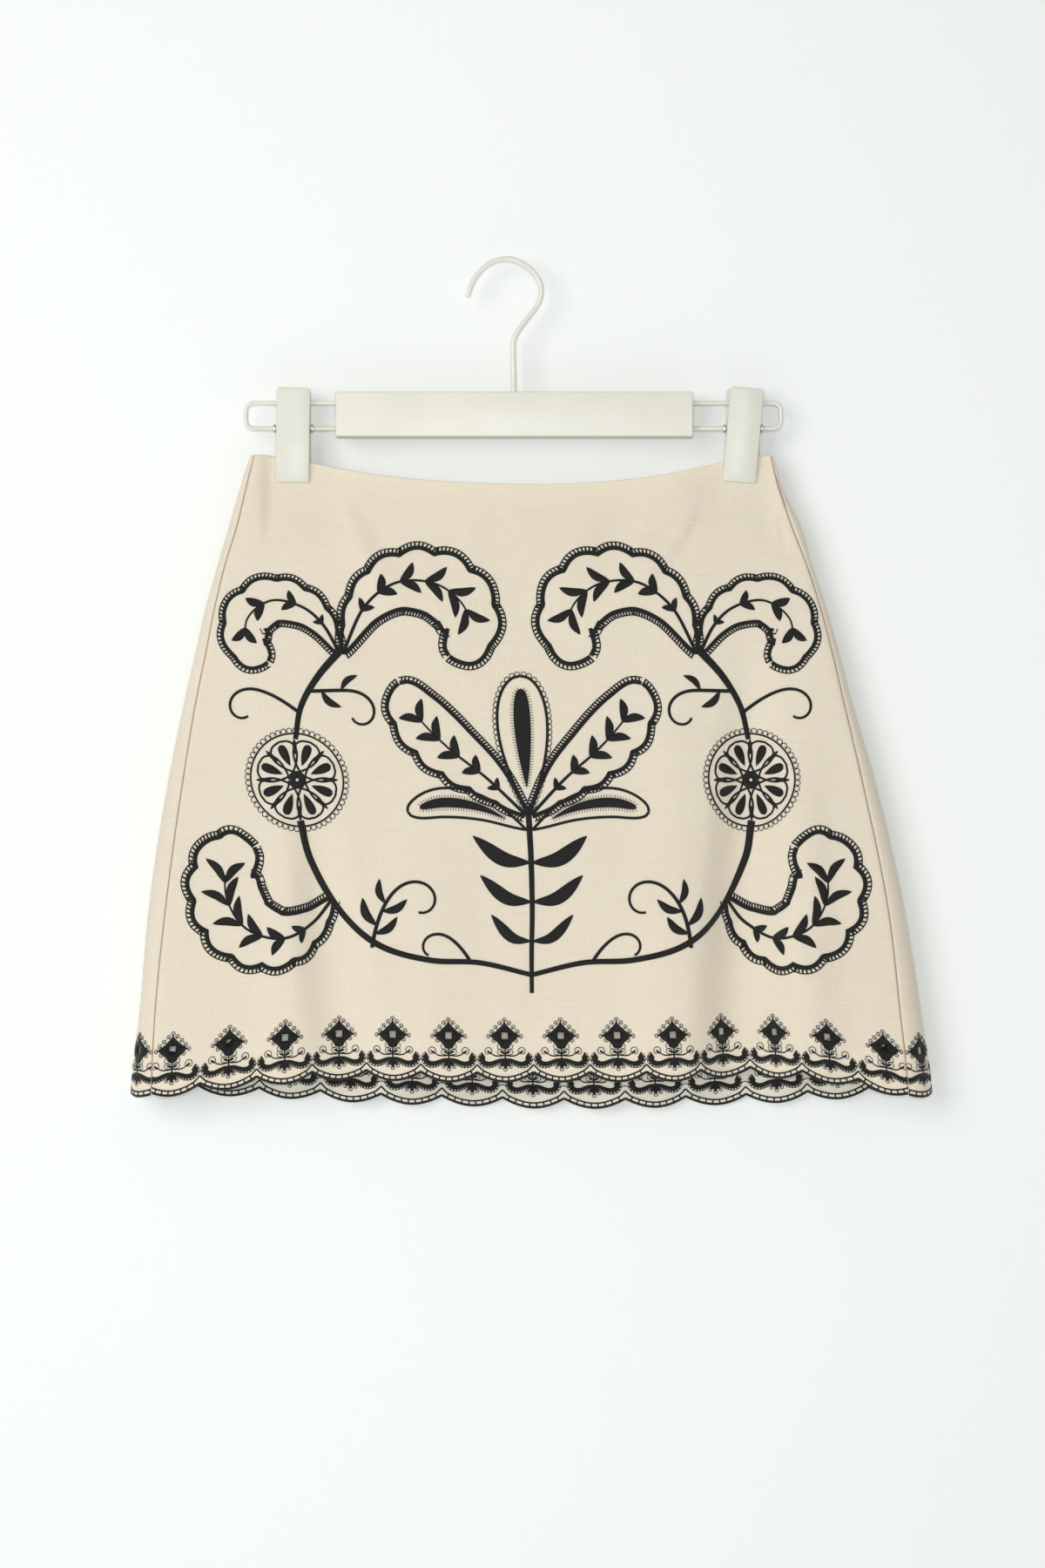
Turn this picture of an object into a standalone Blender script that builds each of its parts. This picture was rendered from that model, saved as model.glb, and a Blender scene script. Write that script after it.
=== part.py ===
"""Embroidered A-line skirt, hung flat by its waist from a clip hanger.

Two cut panels, sewn at the sides, make an open tube of cloth that is pinched
near both upper corners by the hanger's clips.  Sizes are in millimetres and
are turned to metres when a mesh is made.  +X is to the viewer's right, the
front faces -Y, +Z is up.  The origin is the inner crown of the hanger's hook.
"""
import math

import bmesh
import bpy
import numpy as np
from mathutils import Matrix

MM = 0.001

# Cloth
CLOTH = 1.2
SEAM_GAP = 0.3
PINCHED_HALF = 1.45
CLOTH_COLOUR = (0.787, 0.701, 0.571, 1.0)

# Hem border: one embroidered repeat, its scallop and its cut eyelet
SCALLOP_DEPTH = 6.2
SCALLOP_POWER = 1.9
EYELET_WIDTH = 5.0
EYELET_HEIGHT = 5.3
EYELET_RISE = 30.9
BORDER_Z = -520.0
BAND_ROWS = (16.0, EYELET_RISE - EYELET_HEIGHT / 2, EYELET_RISE + EYELET_HEIGHT / 2, 41.0)
EYELET_ROW = 2

# Rows of the upper cloth, as depth below the waist edge where the panel is 360 deep
ROW_DEPTHS = (0, 6, 12, 18, 26, 36, 49, 65, 85, 108, 133, 160, 188, 217, 246, 275, 304, 332, 360)

# Outline of the hung skirt by height: silhouette and seams across, how far the
# front and back stand off the middle plane, and how broad the rounded side is
OUTLINE_COLUMNS = ("z", "left", "right", "left_seam", "right_seam", "front", "back", "side")
OUTLINE = (
    (-126.0, -172.2, 173.8, -170.4, 172.4, 5.2, 4.4, 4.6),
    (-142.0, -178.1, 182.1, -174.2, 175.9, 5.4, 4.6, 5.0),
    (-174.0, -187.3, 192.4, -181.6, 185.6, 6.6, 5.2, 6.4),
    (-203.0, -195.8, 200.7, -190.4, 197.0, 7.8, 5.8, 7.6),
    (-232.0, -203.8, 210.1, -197.2, 206.2, 9.0, 6.4, 8.8),
    (-261.0, -210.5, 218.5, -202.8, 213.8, 10.0, 7.0, 10.0),
    (-290.0, -217.1, 226.2, -208.6, 220.4, 11.0, 7.6, 11.0),
    (-348.0, -228.8, 243.0, -218.0, 233.5, 13.0, 8.8, 13.0),
    (-435.0, -241.9, 262.7, -229.5, 250.6, 15.4, 10.4, 15.6),
    (-493.0, -246.9, 272.0, -235.4, 257.0, 16.8, 11.4, 17.0),
    (-551.0, -252.9, 279.9, -238.2, 262.8, 18.0, 12.2, 18.4),
    (-570.0, -254.0, 281.6, -238.6, 263.6, 18.2, 12.4, 18.6),
)

# Waist and hem heights across each panel, from the left seam to the right
EDGE_COLUMNS = ("across", "waist", "hem")
FRONT_EDGES = (
    (0.00, -128.9, -555.6),
    (0.05, -130.6, -553.0),
    (0.12, -134.6, -548.6),
    (0.20, -140.2, -545.0),
    (0.30, -144.8, -544.0),
    (0.42, -147.8, -545.0),
    (0.55, -148.8, -545.0),
    (0.68, -146.8, -544.2),
    (0.80, -141.6, -542.6),
    (0.89, -134.9, -545.0),
    (0.95, -131.0, -550.6),
    (1.00, -129.2, -555.8),
)
BACK_EDGES = (
    (0.00, -128.9, -555.6),
    (0.05, -128.3, -554.8),
    (0.12, -130.4, -555.8),
    (0.24, -140.4, -558.6),
    (0.36, -147.6, -562.0),
    (0.50, -151.4, -564.6),
    (0.64, -147.8, -564.0),
    (0.78, -139.8, -560.8),
    (0.90, -131.0, -556.4),
    (0.96, -129.4, -554.8),
    (1.00, -129.2, -555.8),
)

# Long soft folds.  Each runs straight from its top to its foot; height is out
# of the cloth where positive, and reach is its half width
FOLD_COLUMNS = ("top_x", "top_z", "foot_x", "foot_z", "height", "top_reach", "foot_reach", "foot_share")
FRONT_FOLDS = (
    (160.0, -215.0, 152.0, -560.0, -12.5, 20.0, 44.0, 1.0),
    (112.0, -215.0, 103.0, -560.0, 4.5, 24.0, 46.0, 1.0),
    (192.0, -250.0, 200.0, -560.0, 3.5, 16.0, 30.0, 1.0),
    (-140.0, -300.0, -105.0, -560.0, -8.0, 16.0, 36.0, 1.0),
    (-150.0, -300.0, -150.0, -560.0, 3.0, 18.0, 30.0, 1.0),
    (-60.0, -330.0, -48.0, -560.0, 3.0, 30.0, 44.0, 1.0),
    (134.0, -150.0, 44.0, -262.0, 3.2, 11.0, 26.0, 0.0),
    (84.0, -150.0, 50.0, -215.0, -2.4, 18.0, 24.0, 0.0),
    (-120.0, -150.0, -78.0, -235.0, 2.6, 12.0, 24.0, 0.0),
)
BACK_FOLDS = (
    (-70.0, -240.0, -92.0, -565.0, -5.0, 26.0, 44.0, 1.0),
    (-20.0, -260.0, -28.0, -565.0, 4.0, 28.0, 46.0, 1.0),
    (60.0, -250.0, 74.0, -565.0, -4.6, 26.0, 42.0, 1.0),
    (128.0, -280.0, 138.0, -565.0, 4.4, 24.0, 40.0, 1.0),
    (-130.0, -150.0, -60.0, -250.0, 2.2, 12.0, 26.0, 0.0),
    (140.0, -150.0, 70.0, -250.0, 2.2, 12.0, 26.0, 0.0),
)

# Cloth held in the two clips: the clips' edges across and where their jaws end
PINCH_COLUMNS = ("left", "right", "foot")
PINCHES = ((-156.0, -134.0, -147.6), (142.4, 166.0, -147.6))
PINCH_MARGIN = 2.6
PINCH_FADE_IN = 34.0
PINCH_FADE_OUT = 6.0
PINCH_FADE_DOWN = 46.0

# Panels: hem repeats, how far the first one's middle lies from the left seam in
# repeats, columns of the upper cloth and where they crowd
FRONT = {
    "repeats": 13.72, "first": 0.36, "columns": 46,
    "crowd": ((0.05, 0.05, 1.6), (0.80, 0.12, 0.6), (0.97, 0.05, 2.2)),
}
BACK = {
    "repeats": 14.60, "first": 0.30, "columns": 54,
    "crowd": ((0.0, 0.07, 3.4), (0.09, 0.04, 1.2), (0.91, 0.04, 1.2), (1.0, 0.07, 3.4)),
}

# Concealed zip inside the right seam
ZIP_THICK = 1.0
ZIP_OFF = CLOTH + 0.9
ZIP_DEPTHS = (4, 10, 16, 24, 34, 48, 66, 86, 108, 130, 152, 175)
ZIP_TOP = -129.2
ZIP_FRONT_TOP = 1.2
ZIP_HALF = 9.0
ZIP_STEPS = 5

# Hanger
WIRE_COLOUR = (0.83, 0.81, 0.69, 1.0)
BAR_COLOUR = (0.84, 0.82, 0.73, 1.0)
CLIP_COLOUR = (0.78, 0.78, 0.68, 1.0)
SPRING_COLOUR = (0.60, 0.59, 0.55, 1.0)
HOOK_WIRE = 3.5
END_WIRE = 2.85
BAR_LEFT, BAR_RIGHT = -116.0, 120.6
BAR_TOP, BAR_FOOT = -87.4, -115.8
BAR_DEPTH = 18.0
BAR_ROUND = 2.0
UPPER_WIRE_Z = -94.0
LOWER_WIRE_Z = -111.0
LEFT_LOOP_X, RIGHT_LOOP_X = -176.7, 179.8
LOOP_ROUND = 5.5
TOUCH = 0.3

# Centre line of the hook as places (x, z), from its tip to the bar
HOOK = (
    (-29.1, -23.1), (-25.2, -12.6), (-18.4, -4.0), (-9.6, 1.0), (0.2, 1.8), (10.8, -3.1),
    (18.0, -11.1), (20.2, -19.1), (18.0, -28.0), (10.8, -37.7), (3.8, -47.5), (1.5, -54.6),
    (1.5, -62.6), (1.7, -75.0), (2.0, BAR_TOP + TOUCH),
)

# Clip plate seen from its side: height, inner face and outer face
CLIP_COLUMNS = ("z", "inner", "outer")
CLIP_SIDE = (
    (-147.0, PINCHED_HALF + TOUCH, 4.2),
    (-132.0, PINCHED_HALF + TOUCH, 5.6),
    (-113.8, 3.15, 6.6),
    (-108.2, 3.15, 6.8),
    (-84.4, 4.9, 7.6),
)
CLIP_WIDTH = 22.0
CLIP_ROUND = 1.8
SPRING_HALF_LENGTH = 12.8
SPRING_OUTER = 5.7

CLIP_SEATS = (
    {"name": "clip_left", "x": -145.0, "front_lean": 1.0, "back_lean": 0.0},
    {"name": "clip_right", "x": 154.6, "front_lean": 5.0, "back_lean": 0.0},
)


def column(table, columns, name):
    """One named column of a table as numbers."""
    return np.array([row[columns.index(name)] for row in table], dtype=float)


def read(table, columns, key, name, where):
    """A named column read at `where` on a smooth curve through the table."""
    xs = column(table, columns, key)
    ys = column(table, columns, name)
    if xs[0] > xs[-1]:
        xs, ys = xs[::-1], ys[::-1]
    slope = np.gradient(ys, xs)
    where = np.clip(where, xs[0], xs[-1])
    at = np.clip(np.searchsorted(xs, where) - 1, 0, len(xs) - 2)
    gap = xs[at + 1] - xs[at]
    t = (where - xs[at]) / gap
    return (
        (2 * t**3 - 3 * t**2 + 1) * ys[at] + (t**3 - 2 * t**2 + t) * gap * slope[at]
        + (3 * t**2 - 2 * t**3) * ys[at + 1] + (t**3 - t**2) * gap * slope[at + 1]
    )


def ease(t):
    """Smooth step from 0 to 1."""
    t = np.clip(t, 0.0, 1.0)
    return t * t * (3 - 2 * t)


def fold_height(folds, x, z):
    """How far the folds lift the cloth at places x along one height z."""
    lift = np.zeros_like(x)
    for row in folds:
        fold = dict(zip(FOLD_COLUMNS, row))
        down = (fold["top_z"] - z) / (fold["top_z"] - fold["foot_z"])
        if down <= 0 or (down >= 1 and fold["foot_share"] == 0):
            continue
        down = min(down, 1.0)
        middle = fold["top_x"] + (fold["foot_x"] - fold["top_x"]) * down
        reach = fold["top_reach"] + (fold["foot_reach"] - fold["top_reach"]) * down
        across = np.clip(np.abs(x - middle) / reach, 0.0, 1.0)
        share = ease(down * 1.6) if fold["foot_share"] else math.sin(math.pi * down)
        lift += fold["height"] * share * 0.5 * (1 + np.cos(math.pi * across))
    return lift


def openness(x, z):
    """0 where a clip pinches the cloth, rising to 1 away from it."""
    free = np.ones_like(x)
    for row in PINCHES:
        pinch = dict(zip(PINCH_COLUMNS, row))
        middle = (pinch["left"] + pinch["right"]) / 2
        inward = np.sign(x - middle) * np.sign(middle) < 0
        beside = np.abs(x - middle) - (pinch["right"] - pinch["left"]) / 2 - PINCH_MARGIN
        fade = np.where(inward, PINCH_FADE_IN, PINCH_FADE_OUT)
        below = max(pinch["foot"] - PINCH_MARGIN - z, 0.0) / PINCH_FADE_DOWN
        far = np.hypot(np.clip(beside, 0.0, None) / fade, below)
        free = free * ease(far)
    return free


def half_ring(z, depth_name, folds):
    """The front or the back of the tube at one height, from left tip to right."""
    at = {name: float(read(OUTLINE, OUTLINE_COLUMNS, "z", name, z)) for name in OUTLINE_COLUMNS[1:]}
    turn = np.linspace(0, math.pi / 2, 18)
    straight = np.linspace(at["left"] + at["side"], at["right"] - at["side"], 322)[1:-1]
    x = np.concatenate((
        at["left"] + at["side"] * (1 - np.cos(turn)),
        straight,
        at["right"] - at["side"] * (1 - np.cos(turn[::-1])),
    ))
    rise = np.concatenate((np.sin(turn), np.ones_like(straight), np.sin(turn[::-1])))
    free = openness(x, z)
    from_side = np.minimum(x - at["left"], at["right"] - x)
    lift = fold_height(folds, x, z) * ease(from_side / (2.2 * at["side"])) * free
    stand = at[depth_name] * free + PINCHED_HALF * (1 - free)
    return x, rise * stand + lift, at


class Cloth:
    """The hung tube's outer surface, read by share across a panel and height.

    A share of 0 is a panel's edge at the left seam and 1 at the right seam.  The
    grid runs a little past both, so that a normal at a seam is the tube's own.
    """

    def __init__(self, across=501, step=2.5, past=0.02):
        self.z = np.arange(-568.0, -126.0 + step, step)
        self.s = np.linspace(-past, 1.0 + past, across)
        self.grid = {"front": np.zeros((len(self.z), across, 2)), "back": np.zeros((len(self.z), across, 2))}
        for row, z in enumerate(self.z):
            x, stand, at = half_ring(z, "front", FRONT_FOLDS)
            back_x, back_stand, _ = half_ring(z, "back", BACK_FOLDS)
            loop_x = np.concatenate((x, back_x[-2:0:-1], x[:1]))
            loop_y = np.concatenate((-stand, back_stand[-2:0:-1], -stand[:1]))
            run = np.concatenate(([0.0], np.cumsum(np.hypot(np.diff(loop_x), np.diff(loop_y)))))
            left = np.interp(at["left_seam"], x, run[:len(x)])
            right = np.interp(at["right_seam"], x, run[:len(x)])
            ends = {
                "front": (left + SEAM_GAP / 2, right - SEAM_GAP / 2),
                "back": (left - SEAM_GAP / 2, right + SEAM_GAP / 2 - run[-1]),
            }
            for side, (start, stop) in ends.items():
                want = start + (stop - start) * self.s
                self.grid[side][row, :, 0] = np.interp(want, run, loop_x, period=run[-1])
                self.grid[side][row, :, 1] = np.interp(want, run, loop_y, period=run[-1])

    def place(self, side, s, z):
        """Points on the outer face."""
        row = np.clip((np.asarray(z) - self.z[0]) / (self.z[1] - self.z[0]), 0, len(self.z) - 1.001)
        col = np.clip((np.asarray(s) - self.s[0]) / (self.s[1] - self.s[0]), 0, len(self.s) - 1.001)
        r, c = row.astype(int), col.astype(int)
        fr, fc = (row - r)[..., None], (col - c)[..., None]
        g = self.grid[side]
        xy = (g[r, c] * (1 - fc) + g[r, c + 1] * fc) * (1 - fr) \
            + (g[r + 1, c] * (1 - fc) + g[r + 1, c + 1] * fc) * fr
        return np.concatenate((xy, np.asarray(z, dtype=float)[..., None]), axis=-1)

    def outward(self, side, s, z):
        """Unit normals of the outer face."""
        s, z = np.asarray(s, dtype=float), np.asarray(z, dtype=float)
        over = self.place(side, s + 0.003, z) - self.place(side, s - 0.003, z)
        up = self.place(side, s, z + 2.0) - self.place(side, s, z - 2.0)
        normal = np.cross(over, up) if side == "front" else np.cross(up, over)
        return normal / np.linalg.norm(normal, axis=-1, keepdims=True)

    def width(self, side, z):
        """Length of a panel's cloth across at one height."""
        line = self.place(side, np.linspace(0, 1, 400), np.full(400, z))
        return float(np.sum(np.linalg.norm(np.diff(line, axis=0), axis=1)))


def material(name, colour, roughness, metallic=0.0):
    """A plain Principled material."""
    mat = bpy.data.materials.new(name)
    mat.use_nodes = True
    shader = mat.node_tree.nodes["Principled BSDF"]
    shader.inputs["Base Color"].default_value = colour
    shader.inputs["Roughness"].default_value = roughness
    shader.inputs["Metallic"].default_value = metallic
    return mat


def add_object(name, mesh, mat):
    """Put a mesh in the scene under its node's name."""
    mesh.materials.append(mat)
    obj = bpy.data.objects.new(name, mesh)
    bpy.context.scene.collection.objects.link(obj)
    return obj


def spread(count, crowd):
    """Shares from 0 to 1, closer together round the named places."""
    t = np.linspace(0, 1, 2001)
    weight = np.ones_like(t)
    for middle, reach, extra in crowd:
        weight += extra * np.exp(-(((t - middle) / reach) ** 2))
    total = np.concatenate(([0.0], np.cumsum((weight[1:] + weight[:-1]) / 2)))
    return np.interp(np.linspace(0, total[-1], count), total, t)


def hem_columns(panel, pitch):
    """Shares across the border: scallop points, and the eyelets' two sides."""
    eyelet = EYELET_WIDTH / 2 / pitch
    marks = [0.0, panel["repeats"]]
    for k in range(int(panel["repeats"]) + 2):
        marks += [panel["first"] + k + part for part in (-0.5, -0.36, -0.2, -eyelet, eyelet, 0.2, 0.36)]
    inside = sorted(m for m in marks if 0.04 < m < panel["repeats"] - 0.04)
    return np.array([0.0] + inside + [panel["repeats"]]) / panel["repeats"]


def scallop_rise(panel, s):
    """Height of the scalloped edge above the line through its lowest points."""
    t = s * panel["repeats"] - panel["first"]
    return SCALLOP_DEPTH * np.abs(2 * (t - np.round(t))) ** SCALLOP_POWER


def is_eyelet(panel, pitch, low, high):
    """True where two neighbouring shares are one eyelet's sides."""
    t = (low + high) / 2 * panel["repeats"] - panel["first"]
    narrow = (high - low) * panel["repeats"] * pitch < EYELET_WIDTH + 0.1
    return narrow and abs(t - round(t)) < 0.01


def zipper(lower, upper, lower_s, upper_s):
    """Triangles between two rows with different columns."""
    faces, i, j = [], 0, 0
    while i < len(lower) - 1 or j < len(upper) - 1:
        if j == len(upper) - 1 or (i < len(lower) - 1 and lower_s[i + 1] <= upper_s[j + 1]):
            faces.append((lower[i], lower[i + 1], upper[j]))
            i += 1
        else:
            faces.append((lower[i], upper[j + 1], upper[j]))
            j += 1
    return faces


def wall_mesh(name, outer, inner, faces, flip):
    """Closed wall between matching outer and inner points, with all its edges."""
    if flip:
        faces = [tuple(reversed(face)) for face in faces]
    count = len(outer)
    edges = {(face[k], face[(k + 1) % len(face)]) for face in faces for k in range(len(face))}
    rims = [(b, a, a + count, b + count) for a, b in sorted(edges) if (b, a) not in edges]
    inside = [tuple(v + count for v in reversed(face)) for face in faces]
    mesh = bpy.data.meshes.new(name)
    points = np.concatenate((outer, inner)) * MM
    mesh.from_pydata(points.tolist(), [], faces + inside + rims)
    mesh.validate()
    return mesh


def build_panel(cloth, side, panel, edges, mat):
    """One panel of the skirt: cloth wall, scalloped hem and cut eyelets."""
    pitch = cloth.width(side, BORDER_Z) / panel["repeats"]
    hem_s = hem_columns(panel, pitch)
    top_s = spread(panel["columns"], panel["crowd"])
    rows = []
    hem = read(edges, EDGE_COLUMNS, "across", "hem", hem_s)
    rows.append((hem_s, hem + scallop_rise(panel, hem_s)))
    for rise in BAND_ROWS:
        rows.append((hem_s, hem + rise))
    band = read(edges, EDGE_COLUMNS, "across", "hem", top_s) + BAND_ROWS[-1]
    waist = read(edges, EDGE_COLUMNS, "across", "waist", top_s)
    for depth in reversed(ROW_DEPTHS[:-1]):
        rows.append((top_s, waist + (band - waist) * depth / ROW_DEPTHS[-1]))
    s = np.concatenate([row[0] for row in rows])
    z = np.concatenate([row[1] for row in rows])
    starts = np.concatenate(([0], np.cumsum([len(row[0]) for row in rows])))
    faces = []
    for k in range(len(rows) - 1):
        lower = list(range(starts[k], starts[k + 1]))
        upper = list(range(starts[k + 1], starts[k + 2]))
        if len(lower) != len(upper):
            faces += zipper(lower, upper, rows[k][0], rows[k + 1][0])
            continue
        for c in range(len(lower) - 1):
            if k == EYELET_ROW and is_eyelet(panel, pitch, rows[k][0][c], rows[k][0][c + 1]):
                continue
            faces.append((lower[c], lower[c + 1], upper[c + 1], upper[c]))
    outer = cloth.place(side, s, z)
    inner = outer - cloth.outward(side, s, z) * CLOTH
    mesh = wall_mesh(side + "_panel", outer, inner, faces, flip=side == "back")
    mesh.shade_smooth()
    mesh.set_sharp_from_angle(angle=math.radians(40))
    return add_object(side + "_panel", mesh, mat)


def build_zip(cloth, mat):
    """Concealed zip's tape, on the inside of both panels along the right seam."""
    near, far = [], []
    for depth in ZIP_DEPTHS:
        z = ZIP_TOP - depth
        front_half = ZIP_FRONT_TOP + (ZIP_HALF - ZIP_FRONT_TOP) * float(ease((depth - 20) / 30))
        front_steps = np.linspace(front_half, 0, ZIP_STEPS)
        back_steps = np.linspace(0, ZIP_HALF, ZIP_STEPS + 2)[1:]
        for side, steps in (("front", front_steps), ("back", back_steps)):
            s = 1.0 - steps / cloth.width(side, z)
            at = cloth.place(side, s, np.full(len(s), z))
            out = cloth.outward(side, s, np.full(len(s), z))
            near.append(at - out * ZIP_OFF)
            far.append(at - out * (ZIP_OFF + ZIP_THICK))
    per_row = 2 * ZIP_STEPS + 1
    faces = []
    for r in range(len(ZIP_DEPTHS) - 1):
        for c in range(per_row - 1):
            a = r * per_row + c
            faces.append((a, a + per_row, a + per_row + 1, a + 1))
    mesh = wall_mesh("side_zip", np.concatenate(near), np.concatenate(far), faces, flip=False)
    return add_object("side_zip", mesh, mat)


def smooth_route(points, per_span):
    """A smooth line through the given places, with even steps in each span."""
    pts = np.array(points, dtype=float)
    pts = np.concatenate(([2 * pts[0] - pts[1]], pts, [2 * pts[-1] - pts[-2]]))
    route = []
    for k in range(1, len(pts) - 2):
        p0, p1, p2, p3 = pts[k - 1:k + 3]
        for t in np.linspace(0, 1, per_span, endpoint=False):
            route.append(0.5 * (
                2 * p1 + (p2 - p0) * t + (2 * p0 - 5 * p1 + 4 * p2 - p3) * t**2
                + (3 * p1 - p0 - 3 * p2 + p3) * t**3
            ))
    route.append(pts[-2])
    return route


def build_wire(name, route, width, mat, resolution):
    """A round wire along places (x, z) in the middle plane."""
    data = bpy.data.curves.new(name, "CURVE")
    data.dimensions = "3D"
    data.bevel_depth = width / 2 * MM
    data.bevel_resolution = resolution
    data.use_fill_caps = True
    data.render_resolution_u = 0
    spline = data.splines.new("POLY")
    spline.points.add(len(route) - 1)
    for point, (x, z) in zip(spline.points, route):
        point.co = (x * MM, 0.0, z * MM, 1.0)
    spline.use_smooth = True
    data.materials.append(mat)
    obj = bpy.data.objects.new(name, data)
    bpy.context.scene.collection.objects.link(obj)
    return obj


def loop_route(bar_end, loop_x):
    """End wire: out of the bar high, round the end and back in low."""
    side = math.copysign(1.0, loop_x)
    start = bar_end + side * TOUCH
    route = [(start, UPPER_WIRE_Z), (start + side * 20, UPPER_WIRE_Z)]
    centre_x = loop_x - side * LOOP_ROUND
    for centre_z, first in ((UPPER_WIRE_Z - LOOP_ROUND, 90), (LOWER_WIRE_Z + LOOP_ROUND, 0)):
        for k in range(5):
            angle = math.radians(first - 22.5 * k)
            x = centre_x + side * LOOP_ROUND * math.cos(angle)
            route.append((x, centre_z + LOOP_ROUND * math.sin(angle)))
    route += [(start + side * 20, LOWER_WIRE_Z), (start, LOWER_WIRE_Z)]
    return route


def build_bar(mat):
    """The hanger's moulded bar, a round-edged box."""
    mesh = bpy.data.meshes.new("hanger_bar")
    bm = bmesh.new()
    size = (BAR_RIGHT - BAR_LEFT, BAR_DEPTH, BAR_TOP - BAR_FOOT)
    middle = ((BAR_RIGHT + BAR_LEFT) / 2, 0.0, (BAR_TOP + BAR_FOOT) / 2)
    bmesh.ops.create_cube(bm, size=1.0)
    bmesh.ops.scale(bm, vec=[s * MM for s in size], verts=bm.verts)
    bmesh.ops.translate(bm, vec=[m * MM for m in middle], verts=bm.verts)
    bmesh.ops.bevel(bm, geom=bm.edges[:], offset=BAR_ROUND * MM, segments=3, profile=0.5, affect="EDGES")
    bm.to_mesh(mesh)
    bm.free()
    mesh.shade_smooth()
    mesh.set_sharp_from_angle(angle=math.radians(35))
    return add_object("hanger_bar", mesh, mat)


def build_clip_plate(name, x, face, lean, mat):
    """One plate of a clip: its side outline drawn across its width."""
    mesh = bpy.data.meshes.new(name)
    bm = bmesh.new()
    heights = column(CLIP_SIDE, CLIP_COLUMNS, "z")
    inner = list(zip(face * column(CLIP_SIDE, CLIP_COLUMNS, "inner"), heights))
    outer = list(zip(face * column(CLIP_SIDE, CLIP_COLUMNS, "outer"), heights))
    outline = inner + outer[::-1]
    verts = [bm.verts.new((-CLIP_WIDTH / 2 * MM, y * MM, z * MM)) for y, z in outline]
    bm.faces.new(verts)
    grown = bmesh.ops.extrude_face_region(bm, geom=bm.faces[:])
    moved = [v for v in grown["geom"] if isinstance(v, bmesh.types.BMVert)]
    bmesh.ops.translate(bm, vec=(CLIP_WIDTH * MM, 0, 0), verts=moved)
    bmesh.ops.recalc_face_normals(bm, faces=bm.faces[:])
    corners = [
        e for e in bm.edges
        if abs(e.verts[0].co.x - e.verts[1].co.x) < 1e-6
        and abs(e.verts[0].co.z - e.verts[1].co.z) < 1e-6
    ]
    bmesh.ops.bevel(bm, geom=corners, offset=CLIP_ROUND * MM, segments=3, profile=0.5, affect="EDGES")
    pivot = Matrix.Translation((0, 0, LOWER_WIRE_Z * MM))
    turn = pivot @ Matrix.Rotation(math.radians(lean), 4, "Y") @ pivot.inverted()
    bm.transform(Matrix.Translation((x * MM, 0, 0)) @ turn)
    bm.to_mesh(mesh)
    bm.free()
    mesh.shade_smooth()
    mesh.set_sharp_from_angle(angle=math.radians(35))
    return add_object(name, mesh, mat)


def build_spring(name, x, mat):
    """A clip's spring and end collars, a sleeve round the lower wire."""
    bore = END_WIRE / 2 + TOUCH
    outer = SPRING_OUTER / 2
    sides = 16
    mesh = bpy.data.meshes.new(name)
    bm = bmesh.new()
    rings = []
    for end, radius in ((-1, outer), (1, outer), (1, bore), (-1, bore)):
        ring = []
        for k in range(sides):
            angle = 2 * math.pi * k / sides
            place = (x + end * SPRING_HALF_LENGTH, radius * math.cos(angle), LOWER_WIRE_Z + radius * math.sin(angle))
            ring.append(bm.verts.new([v * MM for v in place]))
        rings.append(ring)
    for near, far in zip(rings, rings[1:] + rings[:1]):
        for k in range(sides):
            n = (k + 1) % sides
            bm.faces.new((near[k], near[n], far[n], far[k]))
    bmesh.ops.recalc_face_normals(bm, faces=bm.faces[:])
    bm.to_mesh(mesh)
    bm.free()
    mesh.shade_smooth()
    mesh.set_sharp_from_angle(angle=math.radians(35))
    return add_object(name, mesh, mat)


def main():
    for obj in list(bpy.data.objects):
        bpy.data.objects.remove(obj, do_unlink=True)

    cloth_mat = material("cloth", CLOTH_COLOUR, 0.85)
    tape_mat = material("zip_tape", CLOTH_COLOUR, 0.8)
    bar_mat = material("bar", BAR_COLOUR, 0.45)
    wire_mat = material("wire", WIRE_COLOUR, 0.35)
    clip_mat = material("clip", CLIP_COLOUR, 0.4)
    spring_mat = material("spring", SPRING_COLOUR, 0.3, 1.0)

    cloth = Cloth()
    build_panel(cloth, "front", FRONT, FRONT_EDGES, cloth_mat)
    build_panel(cloth, "back", BACK, BACK_EDGES, cloth_mat)
    build_zip(cloth, tape_mat)

    build_bar(bar_mat)
    build_wire("hanger_hook", smooth_route(HOOK, 3), HOOK_WIRE, wire_mat, 3)
    build_wire("hanger_wire_left", loop_route(BAR_LEFT, LEFT_LOOP_X), END_WIRE, wire_mat, 2)
    build_wire("hanger_wire_right", loop_route(BAR_RIGHT, RIGHT_LOOP_X), END_WIRE, wire_mat, 2)
    for seat in CLIP_SEATS:
        build_clip_plate(seat["name"] + "_front", seat["x"], -1, seat["front_lean"], clip_mat)
        build_clip_plate(seat["name"] + "_back", seat["x"], 1, seat["back_lean"], clip_mat)
        build_spring(seat["name"] + "_spring", seat["x"], spring_mat)


main()
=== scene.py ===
"""Visual model of an embroidered skirt on a clip hanger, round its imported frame.

Cloth, embroidery and hanger parts are worked out in millimetres and turned to
metres when a mesh is made.  +X is to the viewer's right, the front faces -Y,
+Z is up.  The origin is the inner crown of the hanger's hook.
"""
import math

import bmesh
import bpy
import numpy as np
from mathutils import Matrix, Vector


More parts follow.
